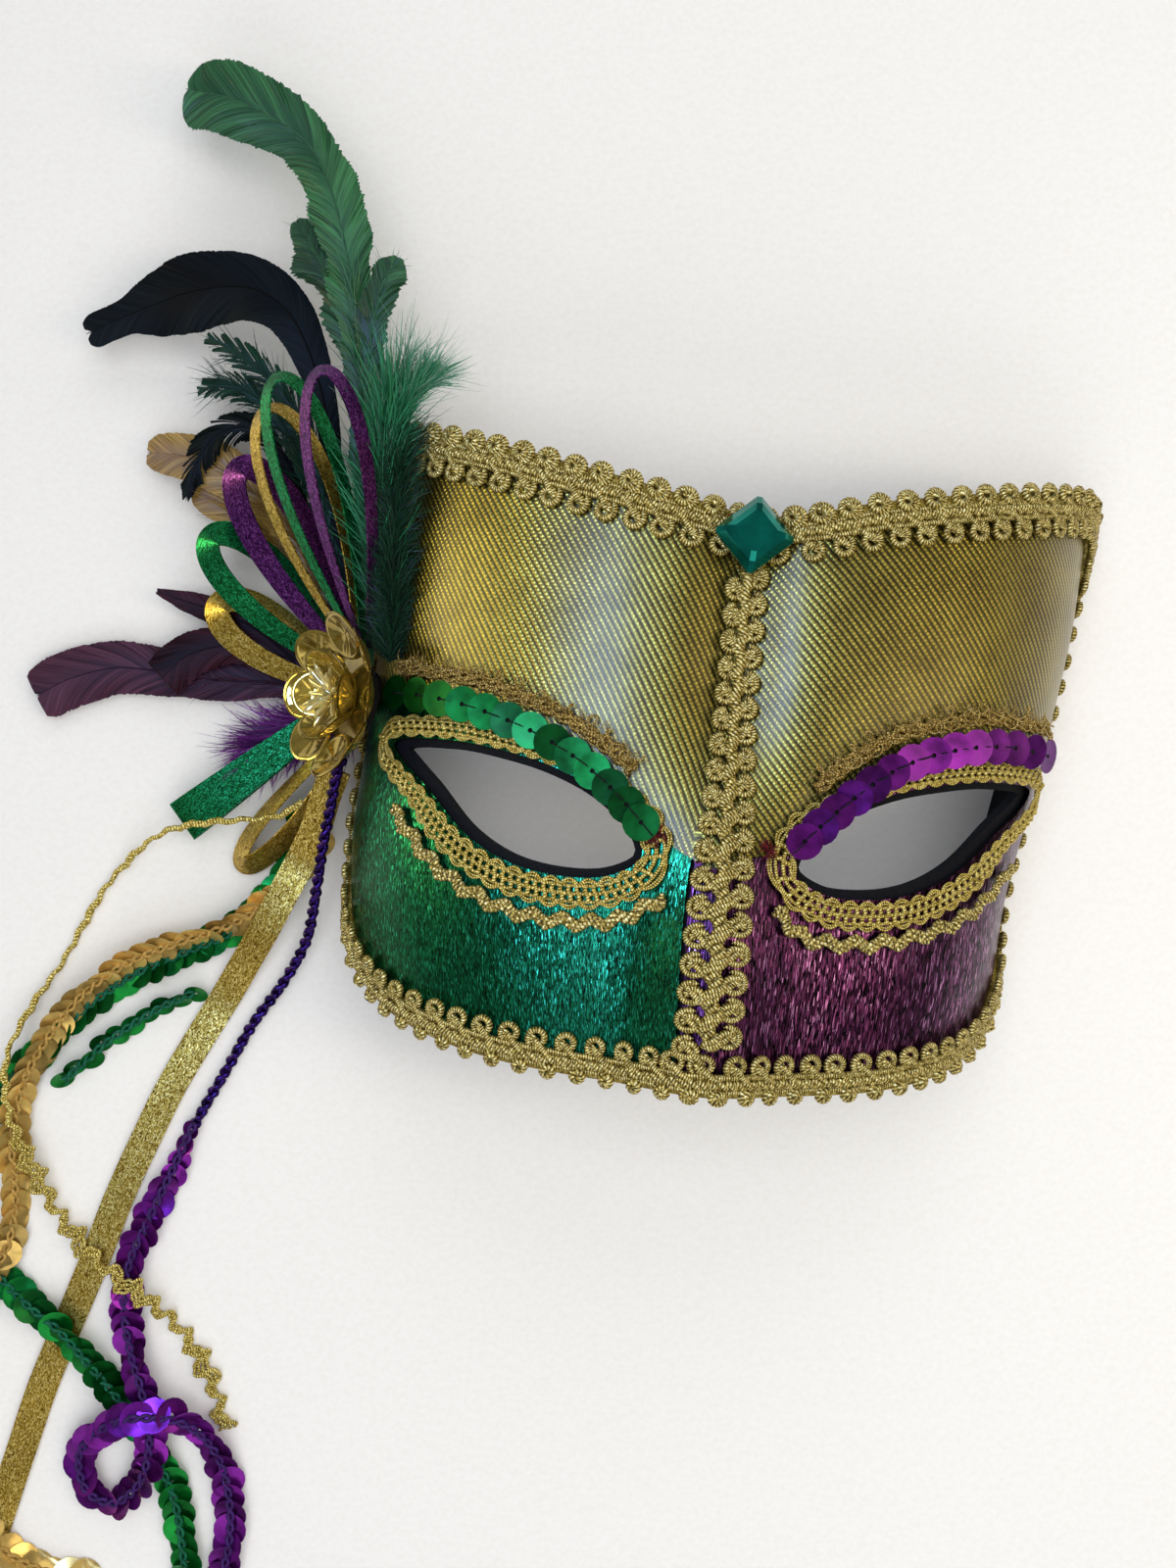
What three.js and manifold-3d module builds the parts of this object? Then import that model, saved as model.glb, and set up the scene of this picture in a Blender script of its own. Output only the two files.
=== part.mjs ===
// A carnival half mask with a spray of feathers and ribbons on its left side, lying face up on a table.
// Millimetres. X runs across the face, Y up the brow and Z out of the face, and the table is at z = 0.
import * as THREE from "three";
import { mergeVertices } from "three/addons/utils/BufferGeometryUtils.js";
import Module from "manifold-3d";

const wasm = await Module();
wasm.setup();

// The face: a wall that rolls back from the front to two side edges that rest on the table
const FACE = {
  depth: 50, // cheek front above the table
  browTuck: 3, // the front falls back by this towards the top and bottom edges
  tuckReach: 60,
  sideSink: 1, // the side walls run on below the table by this, and are cut flat there
  rollPower: 2.6, // how boxy the section across the face is
  tuckIn: 4.5, // the side walls turn in by this towards the table, but not at the top corners
  tuckFrom: 0.8,
  tuckFades: 42,
  tuckTop: 62,
  valley: 4, // dip between the two brows
  valleyWidth: 9,
  nose: 8, // ridge of the nose
  noseWidth: 12,
  reliefTop: 24, // the nose turns into the valley between these two heights
  reliefBottom: -34,
};
// Side edges of the wall at some heights up the face
const SIDE_EDGES = [
  { y: -60, left: -68, right: 60 },
  { y: -35, left: -75, right: 64.5 },
  { y: -15, left: -77, right: 66 },
  { y: 5, left: -76, right: 69.5 },
  { y: 25, left: -75.5, right: 72.5 },
  { y: 45, left: -76.5, right: 75 },
  { y: 75, left: -78, right: 76 },
];
const TOP_EDGE = { centre: 51, slope: 0.25, dipRound: 6, cornerDrop: 5, cornerPower: 14 };
const BOTTOM_EDGE = { centre: -53.5, sag: 4, cornerRise: 27.5, cornerPower: 3 };
const WALL = { shell: 1.8, coverLow: 0.5, coverHigh: 1.5, coverInset: 1.9, trimLow: 2.2 };
// Lines of the wall's grid from the middle to a side edge, closer together over the nose
const GRID_LINES = [0.035, 0.085, 0.15, 0.23, 0.34, 0.47, 0.61, 0.74, 0.84, 0.92, 1];
const GRID_ROWS = 9;
const SPAN_SCALE = 95; // one unit across the face is about this far along the wall

// The left eye opening, round from its outer corner over the upper lid
const EYE = [
  { x: -66, y: 4.5 },
  { x: -55, y: 6 },
  { x: -43, y: 4.8 },
  { x: -33, y: 2.5 },
  { x: -24, y: -1.5 },
  { x: -16.5, y: -8 },
  { x: -15, y: -13 },
  { x: -21, y: -17 },
  { x: -30, y: -18 },
  { x: -40, y: -16.5 },
  { x: -49, y: -12 },
  { x: -57, y: -4.5 },
];
const EYE_STEPS = 26;
const RIGHT_EYE = { mirrorAbout: -0.75, lift: 0.055, liftFrom: 12 }; // the right eye tips up a little
const SHELL_EYE_INSET = 1.6; // the backing shows as a rim inside the cover

// The line where the gold cloth meets the lower cloths, from the left edge to the middle and on
const BROW_LINE = [
  { x: -95, y: 12 },
  { x: -62, y: 12.5 },
  { x: -48, y: 10 },
  { x: -36, y: 6.5 },
  { x: -24, y: 1 },
  { x: -13, y: -8 },
  { x: 0, y: -14 },
  { x: 12, y: -9 },
  { x: 23, y: 2 },
  { x: 34, y: 9 },
  { x: 46, y: 12 },
  { x: 95, y: 13 },
];
const CLOTH_GAP = 0.5;
const CLOTH_REACH = 120; // past every edge of the face
const BROW_STEPS = 40;

// Scroll gimp round the edge: its stem's line on the right half, with how far it reaches each way
const EDGE_BRAID = [
  { u: 0.2, y: 56.4, out: 5.5, in: 6.2 },
  { u: 0.4, y: 61.4, out: 5.5, in: 6.2 },
  { u: 0.6, y: 65.2, out: 5.4, in: 6 },
  { u: 0.77, y: 66.8, out: 5, in: 5.6 },
  { u: 0.875, y: 64, out: 4.4, in: 5 },
  { u: 0.91, y: 56, out: 4.4, in: 5 },
  { u: 0.915, y: 34, out: 4.6, in: 5 },
  { u: 0.915, y: 10, out: 4.6, in: 5 },
  { u: 0.91, y: -12, out: 4.6, in: 5 },
  { u: 0.885, y: -26, out: 4, in: 5 },
  { u: 0.79, y: -38, out: 4, in: 5 },
  { u: 0.63, y: -46, out: 4, in: 5.5 },
  { u: 0.4, y: -51, out: 4, in: 6 },
  { u: 0.2, y: -53, out: 4, in: 6 },
];
const EDGE_TOP = { u: 0.028, y: 51.2, out: 5.5, in: 6.2 };
const EDGE_BOTTOM = { u: 0.028, y: -53.4, out: 4, in: 6 };
const EDGE_KNOBS = 72;
const KNOB_STEPS = 2;
const KNOB_DEPTH = 1.8;
const GIMP_THICK = 2.2;

const CENTRE_BRAID = { top: 43.6, bottom: -46.4, half: 5.6, pitch: 5.1, scallop: 0.9, columns: 3, low: 2.5 };
const EYE_BRAID = { near: 0.4, overLid: 4.4, underLid: 5.8, lidBlend: 4, thick: 1.4, steps: 30 };
const BROW_BRAID = { lift: 5.6, half: 2.2, thick: 1.2, reach: 0.84, steps: 12 };
const RICRAC = { half: 1, wave: 1.1, pitch: 7.2, thick: 1.1, stepsPerWave: 4 };
const SEQUIN = { radius: 3.6, notch: 1, thick: 0.6, pitch: 5.15, shingle: 0.8, steps: 3, lift: 4.1 };

// Lines of the trims over and under the left eye, from the outer end inwards
const LEFT_TRIM = {
  sequins: [
    { x: -66, y: 14.5 },
    { x: -54, y: 13.6 },
    { x: -43, y: 11 },
    { x: -32, y: 6.6 },
    { x: -21.5, y: -0.5 },
    { x: -13.6, y: -8 },
  ],
  ricrac: [
    { x: -64, y: -9.5 },
    { x: -53.5, y: -19.8 },
    { x: -41.4, y: -25.6 },
    { x: -29, y: -27.2 },
    { x: -18, y: -25.8 },
    { x: -9, y: -20.8 },
  ],
};
const RIGHT_TRIM = {
  sequins: [
    { x: 65, y: 15.2 },
    { x: 52, y: 15.6 },
    { x: 41, y: 13.4 },
    { x: 31, y: 9 },
    { x: 21, y: 0.6 },
    { x: 12.2, y: -8.6 },
  ],
  ricrac: [
    { x: 60.5, y: -8.8 },
    { x: 51, y: -18.6 },
    { x: 39, y: -24.2 },
    { x: 27, y: -26.4 },
    { x: 16, y: -25.8 },
    { x: 9, y: -21.2 },
  ],
};

const JEWEL = { x: 0.3, y: 50.2, z: 50.8, side: 11.2, table: 6.4, girdle: 1, height: 4, turn: 2.5, lean: 6, clip: 0.06 };

// The rosette on the side wall: a stem from the wall carries a disc and two cupped rings of petals.
// The disc is turned on the stem, and its heights run from the stem's top.
const FLOWER = {
  wallU: 0.765,
  y: 15,
  lean: 60, // how far the stem leans away from straight up
  stemRadius: 4,
  stemFoot: 0.7,
  stemLength: 6.6,
  stemInset: 0.5, // how far the stem's end goes into the disc
  stemSides: 14,
  headLean: 50,
  headAcross: 4.2, // the disc's centre from the stem's axis, towards the brow and down the face
  headDown: 2,
  discRadius: 8.2,
  discThick: 1.6,
  outer: { count: 8, radius: 5.4, ring: 12.6, height: 2.2, tilt: 36, hub: 9.2, thick: 0.9, sides: 8 },
  inner: { count: 6, radius: 4.8, ring: 6.8, height: 3.8, tilt: 46, hub: 4.6, thick: 0.9, sides: 8 },
  beads: { count: 6, radius: 1, length: 8, height: 5.8, tilt: 30, sides: 6 },
};

// Feathers: the root is a place round the rosette's stem, and each row is a place along a shaft
// with the whole width there
const PLUME_THICK = 1.3;
const PLUME_ROOT = { out: 4.6, height: 2.2, w: 1.2 };
const PLUMES = [
  {
    name: "green_plume",
    root: 82,
    vanes: [
      [
        { x: -76.6, y: 34, z: 19.6, w: 2.6 },
        { x: -78.4, y: 48, z: 21.4, w: 4 },
        { x: -79.5, y: 63, z: 24.4, w: 6 },
        { x: -80.5, y: 77, z: 26.4, w: 8 },
        { x: -83.5, y: 92, z: 27, w: 10 },
        { x: -87.5, y: 106, z: 25, w: 11 },
        { x: -92, y: 118, z: 23, w: 11 },
        { x: -98, y: 128, z: 20, w: 14 },
        { x: -107, y: 134, z: 18, w: 16 },
        { x: -117, y: 138, z: 16, w: 14 },
        { x: -124.5, y: 139.5, z: 14, w: 8 },
        { x: -127, y: 140, z: 13.5, w: 1 },
      ],
      [
        { x: -80.2, y: 75, z: 26.2, w: 3 },
        { x: -86.5, y: 90, z: 26, w: 8 },
        { x: -91.5, y: 101, z: 23.5, w: 8 },
        { x: -96.5, y: 108.5, z: 21, w: 5 },
        { x: -99.5, y: 112, z: 19.5, w: 1 },
      ],
      [
        { x: -80.2, y: 75, z: 26.3, w: 3 },
        { x: -79.6, y: 87, z: 29, w: 7 },
        { x: -78.6, y: 97, z: 28.6, w: 7 },
        { x: -76, y: 104, z: 27.5, w: 1 },
      ],
    ],
  },
  {
    name: "marabou",
    root: 36,
    vanes: [
      [
        { x: -72.6, y: 34, z: 24.4, w: 3 },
        { x: -74.6, y: 52, z: 28, w: 7 },
        { x: -74, y: 67, z: 33, w: 11 },
        { x: -72, y: 79, z: 34.5, w: 11 },
        { x: -67.5, y: 91, z: 34, w: 1 },
      ],
      [
        { x: -74.4, y: 60, z: 31.4, w: 4 },
        { x: -70, y: 73, z: 36, w: 8 },
        { x: -63.5, y: 81, z: 35, w: 1 },
      ],
    ],
  },
  {
    name: "black_plume",
    root: 98,
    vanes: [
      [
        { x: -80.2, y: 34, z: 14.2, w: 2.4 },
        { x: -85.4, y: 53, z: 16.4, w: 3.5 },
        { x: -89, y: 72, z: 20, w: 6 },
        { x: -94, y: 85, z: 20.6, w: 10 },
        { x: -100, y: 93.5, z: 20, w: 15 },
        { x: -108, y: 97.5, z: 18, w: 17 },
        { x: -120, y: 97, z: 14.5, w: 14 },
        { x: -131, y: 93.5, z: 11, w: 8 },
        { x: -140, y: 89.5, z: 9, w: 7 },
        { x: -145, y: 87, z: 8, w: 2 },
      ],
    ],
  },
  {
    name: "green_hackles",
    root: 115,
    vanes: [
      [
        { x: -82, y: 35, z: 9.8, w: 2.4 },
        { x: -94, y: 69, z: 15.5, w: 6 },
        { x: -102, y: 79, z: 15, w: 6 },
        { x: -111, y: 85, z: 13.5, w: 4 },
        { x: -118, y: 88, z: 11.5, w: 0.8 },
      ],
      [
        { x: -82, y: 35, z: 9.7, w: 2.4 },
        { x: -97, y: 67.5, z: 14.2, w: 6 },
        { x: -105, y: 75, z: 13.4, w: 6 },
        { x: -112, y: 78, z: 12.2, w: 4 },
        { x: -119, y: 76.5, z: 10.5, w: 0.8 },
      ],
    ],
  },
  {
    name: "black_hackle",
    root: 142,
    vanes: [
      [
        { x: -85.6, y: 36, z: 8.4, w: 2.4 },
        { x: -99, y: 64, z: 11.2, w: 6 },
        { x: -107, y: 69.5, z: 11, w: 7 },
        { x: -114, y: 67.5, z: 10.2, w: 6 },
        { x: -118, y: 61.5, z: 9, w: 4 },
        { x: -120, y: 53, z: 7.6, w: 0.8 },
      ],
    ],
  },
  {
    name: "tan_plume",
    root: 163,
    vanes: [
      [
        { x: -86, y: 32, z: 5.8, w: 4 },
        { x: -96, y: 48, z: 6.2, w: 9 },
        { x: -105, y: 56, z: 6.4, w: 11 },
        { x: -114, y: 61, z: 7, w: 10 },
        { x: -122, y: 63, z: 6.2, w: 8 },
        { x: -130, y: 63, z: 5.8, w: 2 },
      ],
      [
        { x: -86, y: 31.6, z: 5.7, w: 3.4 },
        { x: -97, y: 44, z: 5, w: 8 },
        { x: -107, y: 51, z: 5.4, w: 8 },
        { x: -114, y: 54, z: 5, w: 6 },
        { x: -119, y: 56, z: 4.8, w: 1 },
      ],
    ],
  },
  {
    name: "maroon_plume",
    root: 189,
    vanes: [
      [
        { x: -83, y: 16.4, z: 8.6, w: 2.6 },
        { x: -91, y: 19, z: 5.4, w: 4.5 },
        { x: -99, y: 22, z: 5.2, w: 8 },
        { x: -109, y: 22.5, z: 5, w: 10 },
        { x: -117, y: 19.5, z: 5.2, w: 9 },
        { x: -122, y: 14, z: 5.6, w: 4 },
      ],
      [
        { x: -91, y: 19, z: 5.5, w: 3 },
        { x: -103, y: 27, z: 5.1, w: 6 },
        { x: -112, y: 30, z: 5.1, w: 5 },
        { x: -119, y: 31.5, z: 5.4, w: 3 },
        { x: -125, y: 33, z: 5.8, w: 0.8 },
      ],
    ],
  },
  {
    name: "purple_plume",
    root: 216,
    vanes: [
      [
        { x: -82.6, y: 12.4, z: 6, w: 2.6 },
        { x: -89, y: 13.4, z: 3, w: 5 },
        { x: -98, y: 15.5, z: 2.6, w: 9 },
        { x: -110, y: 15, z: 2.8, w: 10 },
        { x: -122, y: 15.5, z: 3, w: 12 },
        { x: -133, y: 15.5, z: 3.2, w: 13 },
        { x: -143, y: 12, z: 3.2, w: 11 },
        { x: -150, y: 7.5, z: 3, w: 3 },
      ],
    ],
  },
  {
    name: "purple_fluff",
    root: 239,
    vanes: [
      [
        { x: -83, y: 9, z: 6.6, w: 3 },
        { x: -89, y: 6.5, z: 4, w: 7 },
        { x: -96, y: 3, z: 3, w: 9 },
        { x: -101.5, y: -1, z: 2.6, w: 2 },
      ],
    ],
  },
];

// Ribbon loops: a teardrop from its root under the rosette's disc to its tip, the ribbon leaning out,
// or lying flat with its two layers one over the other
const RIBBON_THICK = 0.9;
const LOOP = { steps: 14, out: 9, height: 4.6, waist: 1.1, fullness: 1.6, neck: 0.64, gather: 0.26 };
const LOOPS = [
  { name: "purple_loop_narrow", root: 70, tip: [-86, 75.5, 44], dip: 0, breadth: 12, width: 4, tilt: 40 },
  { name: "green_loop_narrow", root: 90, tip: [-96, 75, 37], dip: 1, breadth: 13, width: 4, tilt: 40 },
  { name: "gold_loop_narrow", root: 110, tip: [-99, 70, 30], dip: 2, breadth: 14, width: 4, tilt: 40 },
  { name: "purple_loop_wide", root: 131, tip: [-105, 58.5, 23.4], dip: 3.6, breadth: 11.6, width: 6.4, tilt: 62 },
  { name: "green_loop_wide", root: 150, tip: [-111.5, 44.5, 16.6], dip: 4, breadth: 11.4, width: 6.4, tilt: 62 },
  { name: "gold_loop_wide", root: 177, tip: [-110.5, 31, 8.4], dip: 3, breadth: 10, width: 6.4, tilt: 66 },
  { name: "green_loop_tail", root: 200, tip: [-115, -17, 3.8], dip: 0.6, breadth: 2.6, width: 9.5, flat: true },
  { name: "gold_loop_tail", root: 262, tip: [-101, -25, 3.8], dip: 3.4, breadth: 7, width: 6.4, tilt: 40 },
];

// Streamers laid on the table: hand laid routes, each with a flat section
const RIBBON_STREAMER = {
  width: 6.6,
  thick: 1,
  steps: 18,
  route: [
    [-80.4, -2, 16.6],
    [-82.4, -8, 13.6],
    [-84.4, -15, 10.4],
    [-87.4, -22.5, 7.6],
    [-90.6, -30, 6.8],
    [-94, -38, 5.6],
    [-98, -46, 3],
    [-102.4, -55, 1],
    [-106.4, -63, 0.7],
    [-112.5, -76, 0.7],
    [-117, -88, 0.7],
    [-121.5, -101, 0.7],
    [-126, -117, 0.7],
    [-130, -130, 0.7],
    [-134.5, -145, 0.7],
    [-138, -160, 0.7],
    [-140.5, -171, 0.7],
    [-142.5, -180, 0.7],
  ],
};
const RICRAC_STREAMER = {
  width: 4,
  thick: 1.2,
  steps: 32,
  route: [
    [-87.6, -9.4, 12.6],
    [-91, -12.6, 11.6],
    [-97, -14.4, 9.6],
    [-104, -15.6, 9],
    [-111, -17, 8.4],
    [-117, -19, 7],
    [-122.5, -22.6, 4],
    [-127.6, -28, 1.4],
    [-131.5, -33.6, 0.9],
    [-135, -41, 0.9],
    [-139.4, -51, 0.9],
    [-144.5, -61, 3],
    [-147.6, -72, 6.6],
    [-146, -84, 6.6],
    [-140.5, -97, 3.4],
    [-134.5, -106.5, 1.6],
    [-127, -114, 2.4],
    [-119.5, -118.6, 4],
    [-112, -123.5, 3.6],
    [-106.5, -128.5, 0.9],
    [-100.5, -135.5, 0.9],
    [-96, -143, 0.9],
    [-93.5, -151, 0.9],
  ],
};
const STRINGS = {
  purple_sequin_string: {
    ropeSpans: 9,
    steps: 30,
    route: [
      [-77, 4.6, 23.6],
      [-79.2, -2.4, 21.6],
      [-80.6, -10, 17.4],
      [-82, -19, 14],
      [-83.2, -29, 9.8],
      [-85, -40, 5],
      [-89.5, -50, 2],
      [-95.5, -60, 1.6],
      [-100.5, -71, 1.6],
      [-106, -83, 1.6],
      [-110, -94, 1.6],
      [-114, -105, 1.6],
      [-117.4, -115, 1.6],
      [-118, -124, 1.6],
      [-115, -135, 2.6],
      [-111.5, -142, 4.4],
      [-108.6, -152, 4.6],
      [-110, -162.5, 4],
      [-116, -168.5, 2],
      [-122, -166.5, 1.6],
      [-124.4, -159, 1.8],
      [-119.5, -151.6, 4.4],
      [-111, -147, 7.4],
      [-101.5, -148, 5.4],
      [-94.5, -155, 2],
      [-90.5, -165, 1.6],
      [-89.5, -175, 1.6],
      [-90.5, -183, 1.6],
    ],
  },
  gold_sequin_string: {
    steps: 26,
    route: [
      [-84.6, -19, 4],
      [-87.4, -24, 3.8],
      [-91, -29.4, 3.9],
      [-96, -34.4, 4],
      [-103, -39, 4],
      [-113, -43.5, 4],
      [-123, -48.6, 4],
      [-132, -56, 4],
      [-139, -66, 4],
      [-144, -78, 4],
      [-145.5, -92, 2.6],
      [-144, -104, 1.4],
      [-144.4, -114, 2.8],
      [-148.4, -124, 4.4],
      [-152, -138, 3],
      [-152.4, -155, 1.4],
      [-148, -170, 1.4],
      [-141, -179, 3],
      [-132, -184.5, 1.6],
      [-121, -186.5, 1.4],
    ],
  },
  green_sequin_string: {
    steps: 28,
    route: [
      [-89, -13, 3],
      [-90.4, -21, 1.5],
      [-93.5, -30, 1.4],
      [-102.5, -40.5, 1.4],
      [-112.5, -46, 1.4],
      [-123, -52, 1.4],
      [-132.5, -60, 1.4],
      [-141.5, -70, 1.4],
      [-149.6, -81, 1.4],
      [-154, -94, 1.4],
      [-153.5, -108, 1.4],
      [-148, -119, 1.4],
      [-140, -126, 2],
      [-131, -131.5, 3],
      [-124.5, -138, 2.4],
      [-116, -147, 1.4],
      [-108, -157, 1.4],
      [-102.5, -167, 1.4],
      [-100, -176, 1.4],
      [-98.6, -184, 1.4],
    ],
  },
  green_sequin_tail: {
    steps: 6,
    route: [
      [-109, -54.4, 1.4],
      [-114.4, -57.4, 1.4],
      [-121, -62, 1.4],
      [-129, -69, 1.4],
      [-136, -77, 1.4],
    ],
  },
};
const STRING_SECTION = { width: 7, thick: 2.2 };
const ROPE = { width: 2.8, thick: 2, steps: 14 }; // where a string's discs are wound tight into a rope
const STREAMER_SIDES = 8;

const COLOURS = {
  black: { color: 0x15140f, roughness: 0.85, metalness: 0 },
  goldCloth: { color: 0x9c8340, roughness: 0.38, metalness: 0.7 },
  greenCloth: { color: 0x0c6a49, roughness: 0.42, metalness: 0.5 },
  purpleCloth: { color: 0x5a2a5c, roughness: 0.42, metalness: 0.5 },
  goldBraid: { color: 0xa08a3c, roughness: 0.5, metalness: 0.7 },
  greenSequin: { color: 0x0f7a45, roughness: 0.2, metalness: 0.6 },
  purpleSequin: { color: 0x6a1a8a, roughness: 0.2, metalness: 0.6 },
  goldSequin: { color: 0xb98d1e, roughness: 0.18, metalness: 0.6 },
  greenJewel: { color: 0x0a5f59, roughness: 0.08, metalness: 0.1 },
  greenFeather: { color: 0x2c6b42, roughness: 0.7, metalness: 0 },
  darkGreenFeather: { color: 0x12402f, roughness: 0.7, metalness: 0 },
  blackFeather: { color: 0x14181a, roughness: 0.6, metalness: 0 },
  tanFeather: { color: 0xa87a3e, roughness: 0.7, metalness: 0 },
  purpleFeather: { color: 0x40203f, roughness: 0.7, metalness: 0 },
  maroonFeather: { color: 0x3a1a22, roughness: 0.7, metalness: 0 },
  greenRibbon: { color: 0x108a52, roughness: 0.35, metalness: 0.5 },
  purpleRibbon: { color: 0x5c2a66, roughness: 0.35, metalness: 0.5 },
  goldRibbon: { color: 0xb09a4c, roughness: 0.35, metalness: 0.6 },
};

const point = (x, y, z) => new THREE.Vector3(x, y, z);
const smooth = (low, high, at) => THREE.MathUtils.smoothstep(at, low, high);

// A smooth value between the rows of a table
function between(rows, key, column, at) {
  const last = rows.length - 1;
  let i = 0;
  while (i < last - 1 && at > rows[i + 1][key]) i++;
  const slope = (k) => {
    const a = rows[Math.max(0, k - 1)];
    const b = rows[Math.min(last, k + 1)];
    return (b[column] - a[column]) / (b[key] - a[key]);
  };
  const span = rows[i + 1][key] - rows[i][key];
  const t = THREE.MathUtils.clamp((at - rows[i][key]) / span, 0, 1);
  const s = t * t;
  const c = s * t;
  return (
    (2 * c - 3 * s + 1) * rows[i][column] +
    (c - 2 * s + t) * span * slope(i) +
    (3 * s - 2 * c) * rows[i + 1][column] +
    (c - s) * span * slope(i + 1)
  );
}

const leftEdge = (y) => between(SIDE_EDGES, "y", "left", y);
const rightEdge = (y) => between(SIDE_EDGES, "y", "right", y);
const middle = (y) => (rightEdge(y) + leftEdge(y)) / 2;
const halfWidth = (y) => (rightEdge(y) - leftEdge(y)) / 2;
const ratioAt = (u) => Math.sign(u) * (1 - (1 - Math.abs(u)) ** 2);

// Where a plan position lies across the face, from -1 at the left edge to 1 at the right
function acrossAt(x, y) {
  const ratio = THREE.MathUtils.clamp((x - middle(y)) / halfWidth(y), -1, 1);
  return Math.sign(ratio) * (1 - Math.sqrt(1 - Math.abs(ratio)));
}

function topEdge(u) {
  const x = middle(TOP_EDGE.centre) + ratioAt(u) * halfWidth(TOP_EDGE.centre);
  const rise = TOP_EDGE.slope * (Math.hypot(x, TOP_EDGE.dipRound) - TOP_EDGE.dipRound);
  return TOP_EDGE.centre + rise - TOP_EDGE.cornerDrop * Math.abs(u) ** TOP_EDGE.cornerPower;
}

function bottomEdge(u) {
  const corner = BOTTOM_EDGE.cornerRise * Math.abs(u) ** BOTTOM_EDGE.cornerPower;
  return BOTTOM_EDGE.centre + BOTTOM_EDGE.sag * u * u + corner;
}

// The front of the backing
function facePoint(u, y) {
  const ratio = ratioAt(u);
  const tuck = smooth(FACE.tuckFrom, 1, Math.abs(u)) * (1 - smooth(FACE.tuckFades, FACE.tuckTop, y));
  const x = middle(y) + ratio * halfWidth(y) - Math.sign(u) * FACE.tuckIn * tuck;
  const depth = FACE.depth - FACE.browTuck * (y / FACE.tuckReach) ** 2;
  const roll = Math.sqrt(Math.max(0, 1 - Math.abs(ratio) ** FACE.rollPower));
  const brow = smooth(FACE.reliefBottom, FACE.reliefTop, y);
  const ridge = FACE.nose * (1 - brow) * Math.exp(-((x / FACE.noseWidth) ** 2));
  const dip = FACE.valley * brow * Math.exp(-((x / FACE.valleyWidth) ** 2));
  return point(x, y, (depth + FACE.sideSink) * roll - FACE.sideSink + ridge - dip);
}

// Directions on the face: across it, up it, and straight out of it
function faceFrame(u, y) {
  const du = 0.002;
  const dy = 0.2;
  const u0 = Math.max(-1, u - du);
  const u1 = Math.min(1, u + du);
  const across = facePoint(u1, y).sub(facePoint(u0, y)).divideScalar(u1 - u0);
  const up = facePoint(u, y + dy).sub(facePoint(u, y - dy)).divideScalar(2 * dy);
  return { across, up, out: across.clone().cross(up).normalize() };
}

const raised = (u, y, height) => facePoint(u, y).addScaledVector(faceFrame(u, y).out, height);

// The way across a line on the face that runs along (du, dy), as a step of one millimetre
function sideStep(u, y, du, dy) {
  const { across, up, out } = faceFrame(u, y);
  const along = across.clone().multiplyScalar(du).addScaledVector(up, dy).normalize();
  const side = out.clone().cross(along);
  const aa = across.dot(across);
  const ab = across.dot(up);
  const bb = up.dot(up);
  const det = aa * bb - ab * ab;
  const sa = side.dot(across);
  const sb = side.dot(up);
  return { u: (sa * bb - sb * ab) / det, y: (sb * aa - sa * ab) / det };
}

// Closed surfaces from rings of points, with flat ends unless the rings run round in a circle
function loft(rings, closed = false) {
  const n = rings[0].length;
  const corners = rings.flat().flatMap((p) => [p.x, p.y, p.z]);
  const faces = [];
  const last = closed ? rings.length : rings.length - 1;
  for (let i = 0; i < last; i++) {
    const a = i * n;
    const b = ((i + 1) % rings.length) * n;
    for (let k = 0; k < n; k++) {
      const m = (k + 1) % n;
      faces.push(a + k, a + m, b + m, a + k, b + m, b + k);
    }
  }
  if (!closed) {
    const end = (rings.length - 1) * n;
    for (let k = 1; k < n - 1; k++) {
      faces.push(0, k + 1, k, end, end + k, end + k + 1);
    }
  }
  return outward(corners, faces);
}

// A geometry whose faces all point out
function outward(corners, faces) {
  let volume = 0;
  const at = (i) => point(corners[3 * i], corners[3 * i + 1], corners[3 * i + 2]);
  for (let i = 0; i < faces.length; i += 3) {
    volume += at(faces[i]).dot(at(faces[i + 1]).cross(at(faces[i + 2])));
  }
  if (volume < 0) {
    for (let i = 0; i < faces.length; i += 3) {
      [faces[i + 1], faces[i + 2]] = [faces[i + 2], faces[i + 1]];
    }
  }
  const geometry = new THREE.BufferGeometry();
  geometry.setAttribute("position", new THREE.Float32BufferAttribute(corners, 3));
  geometry.setIndex(faces);
  return geometry;
}

function solidOf(geometry) {
  const bare = geometry.clone();
  bare.deleteAttribute("normal");
  bare.deleteAttribute("uv");
  const merged = mergeVertices(bare, 1e-4);
  const vertProperties = new Float32Array(merged.attributes.position.array);
  const triVerts = new Uint32Array(merged.index.array);
  return new wasm.Manifold(new wasm.Mesh({ numProp: 3, vertProperties, triVerts }));
}

function geometryOf(solid) {
  const made = solid.getMesh();
  const geometry = new THREE.BufferGeometry();
  geometry.setAttribute("position", new THREE.Float32BufferAttribute(made.vertProperties, 3));
  geometry.setIndex([...made.triVerts]);
  return geometry;
}

const fuse = (geometries) => geometryOf(geometries.map(solidOf).reduce((all, one) => all.add(one)));

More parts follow.
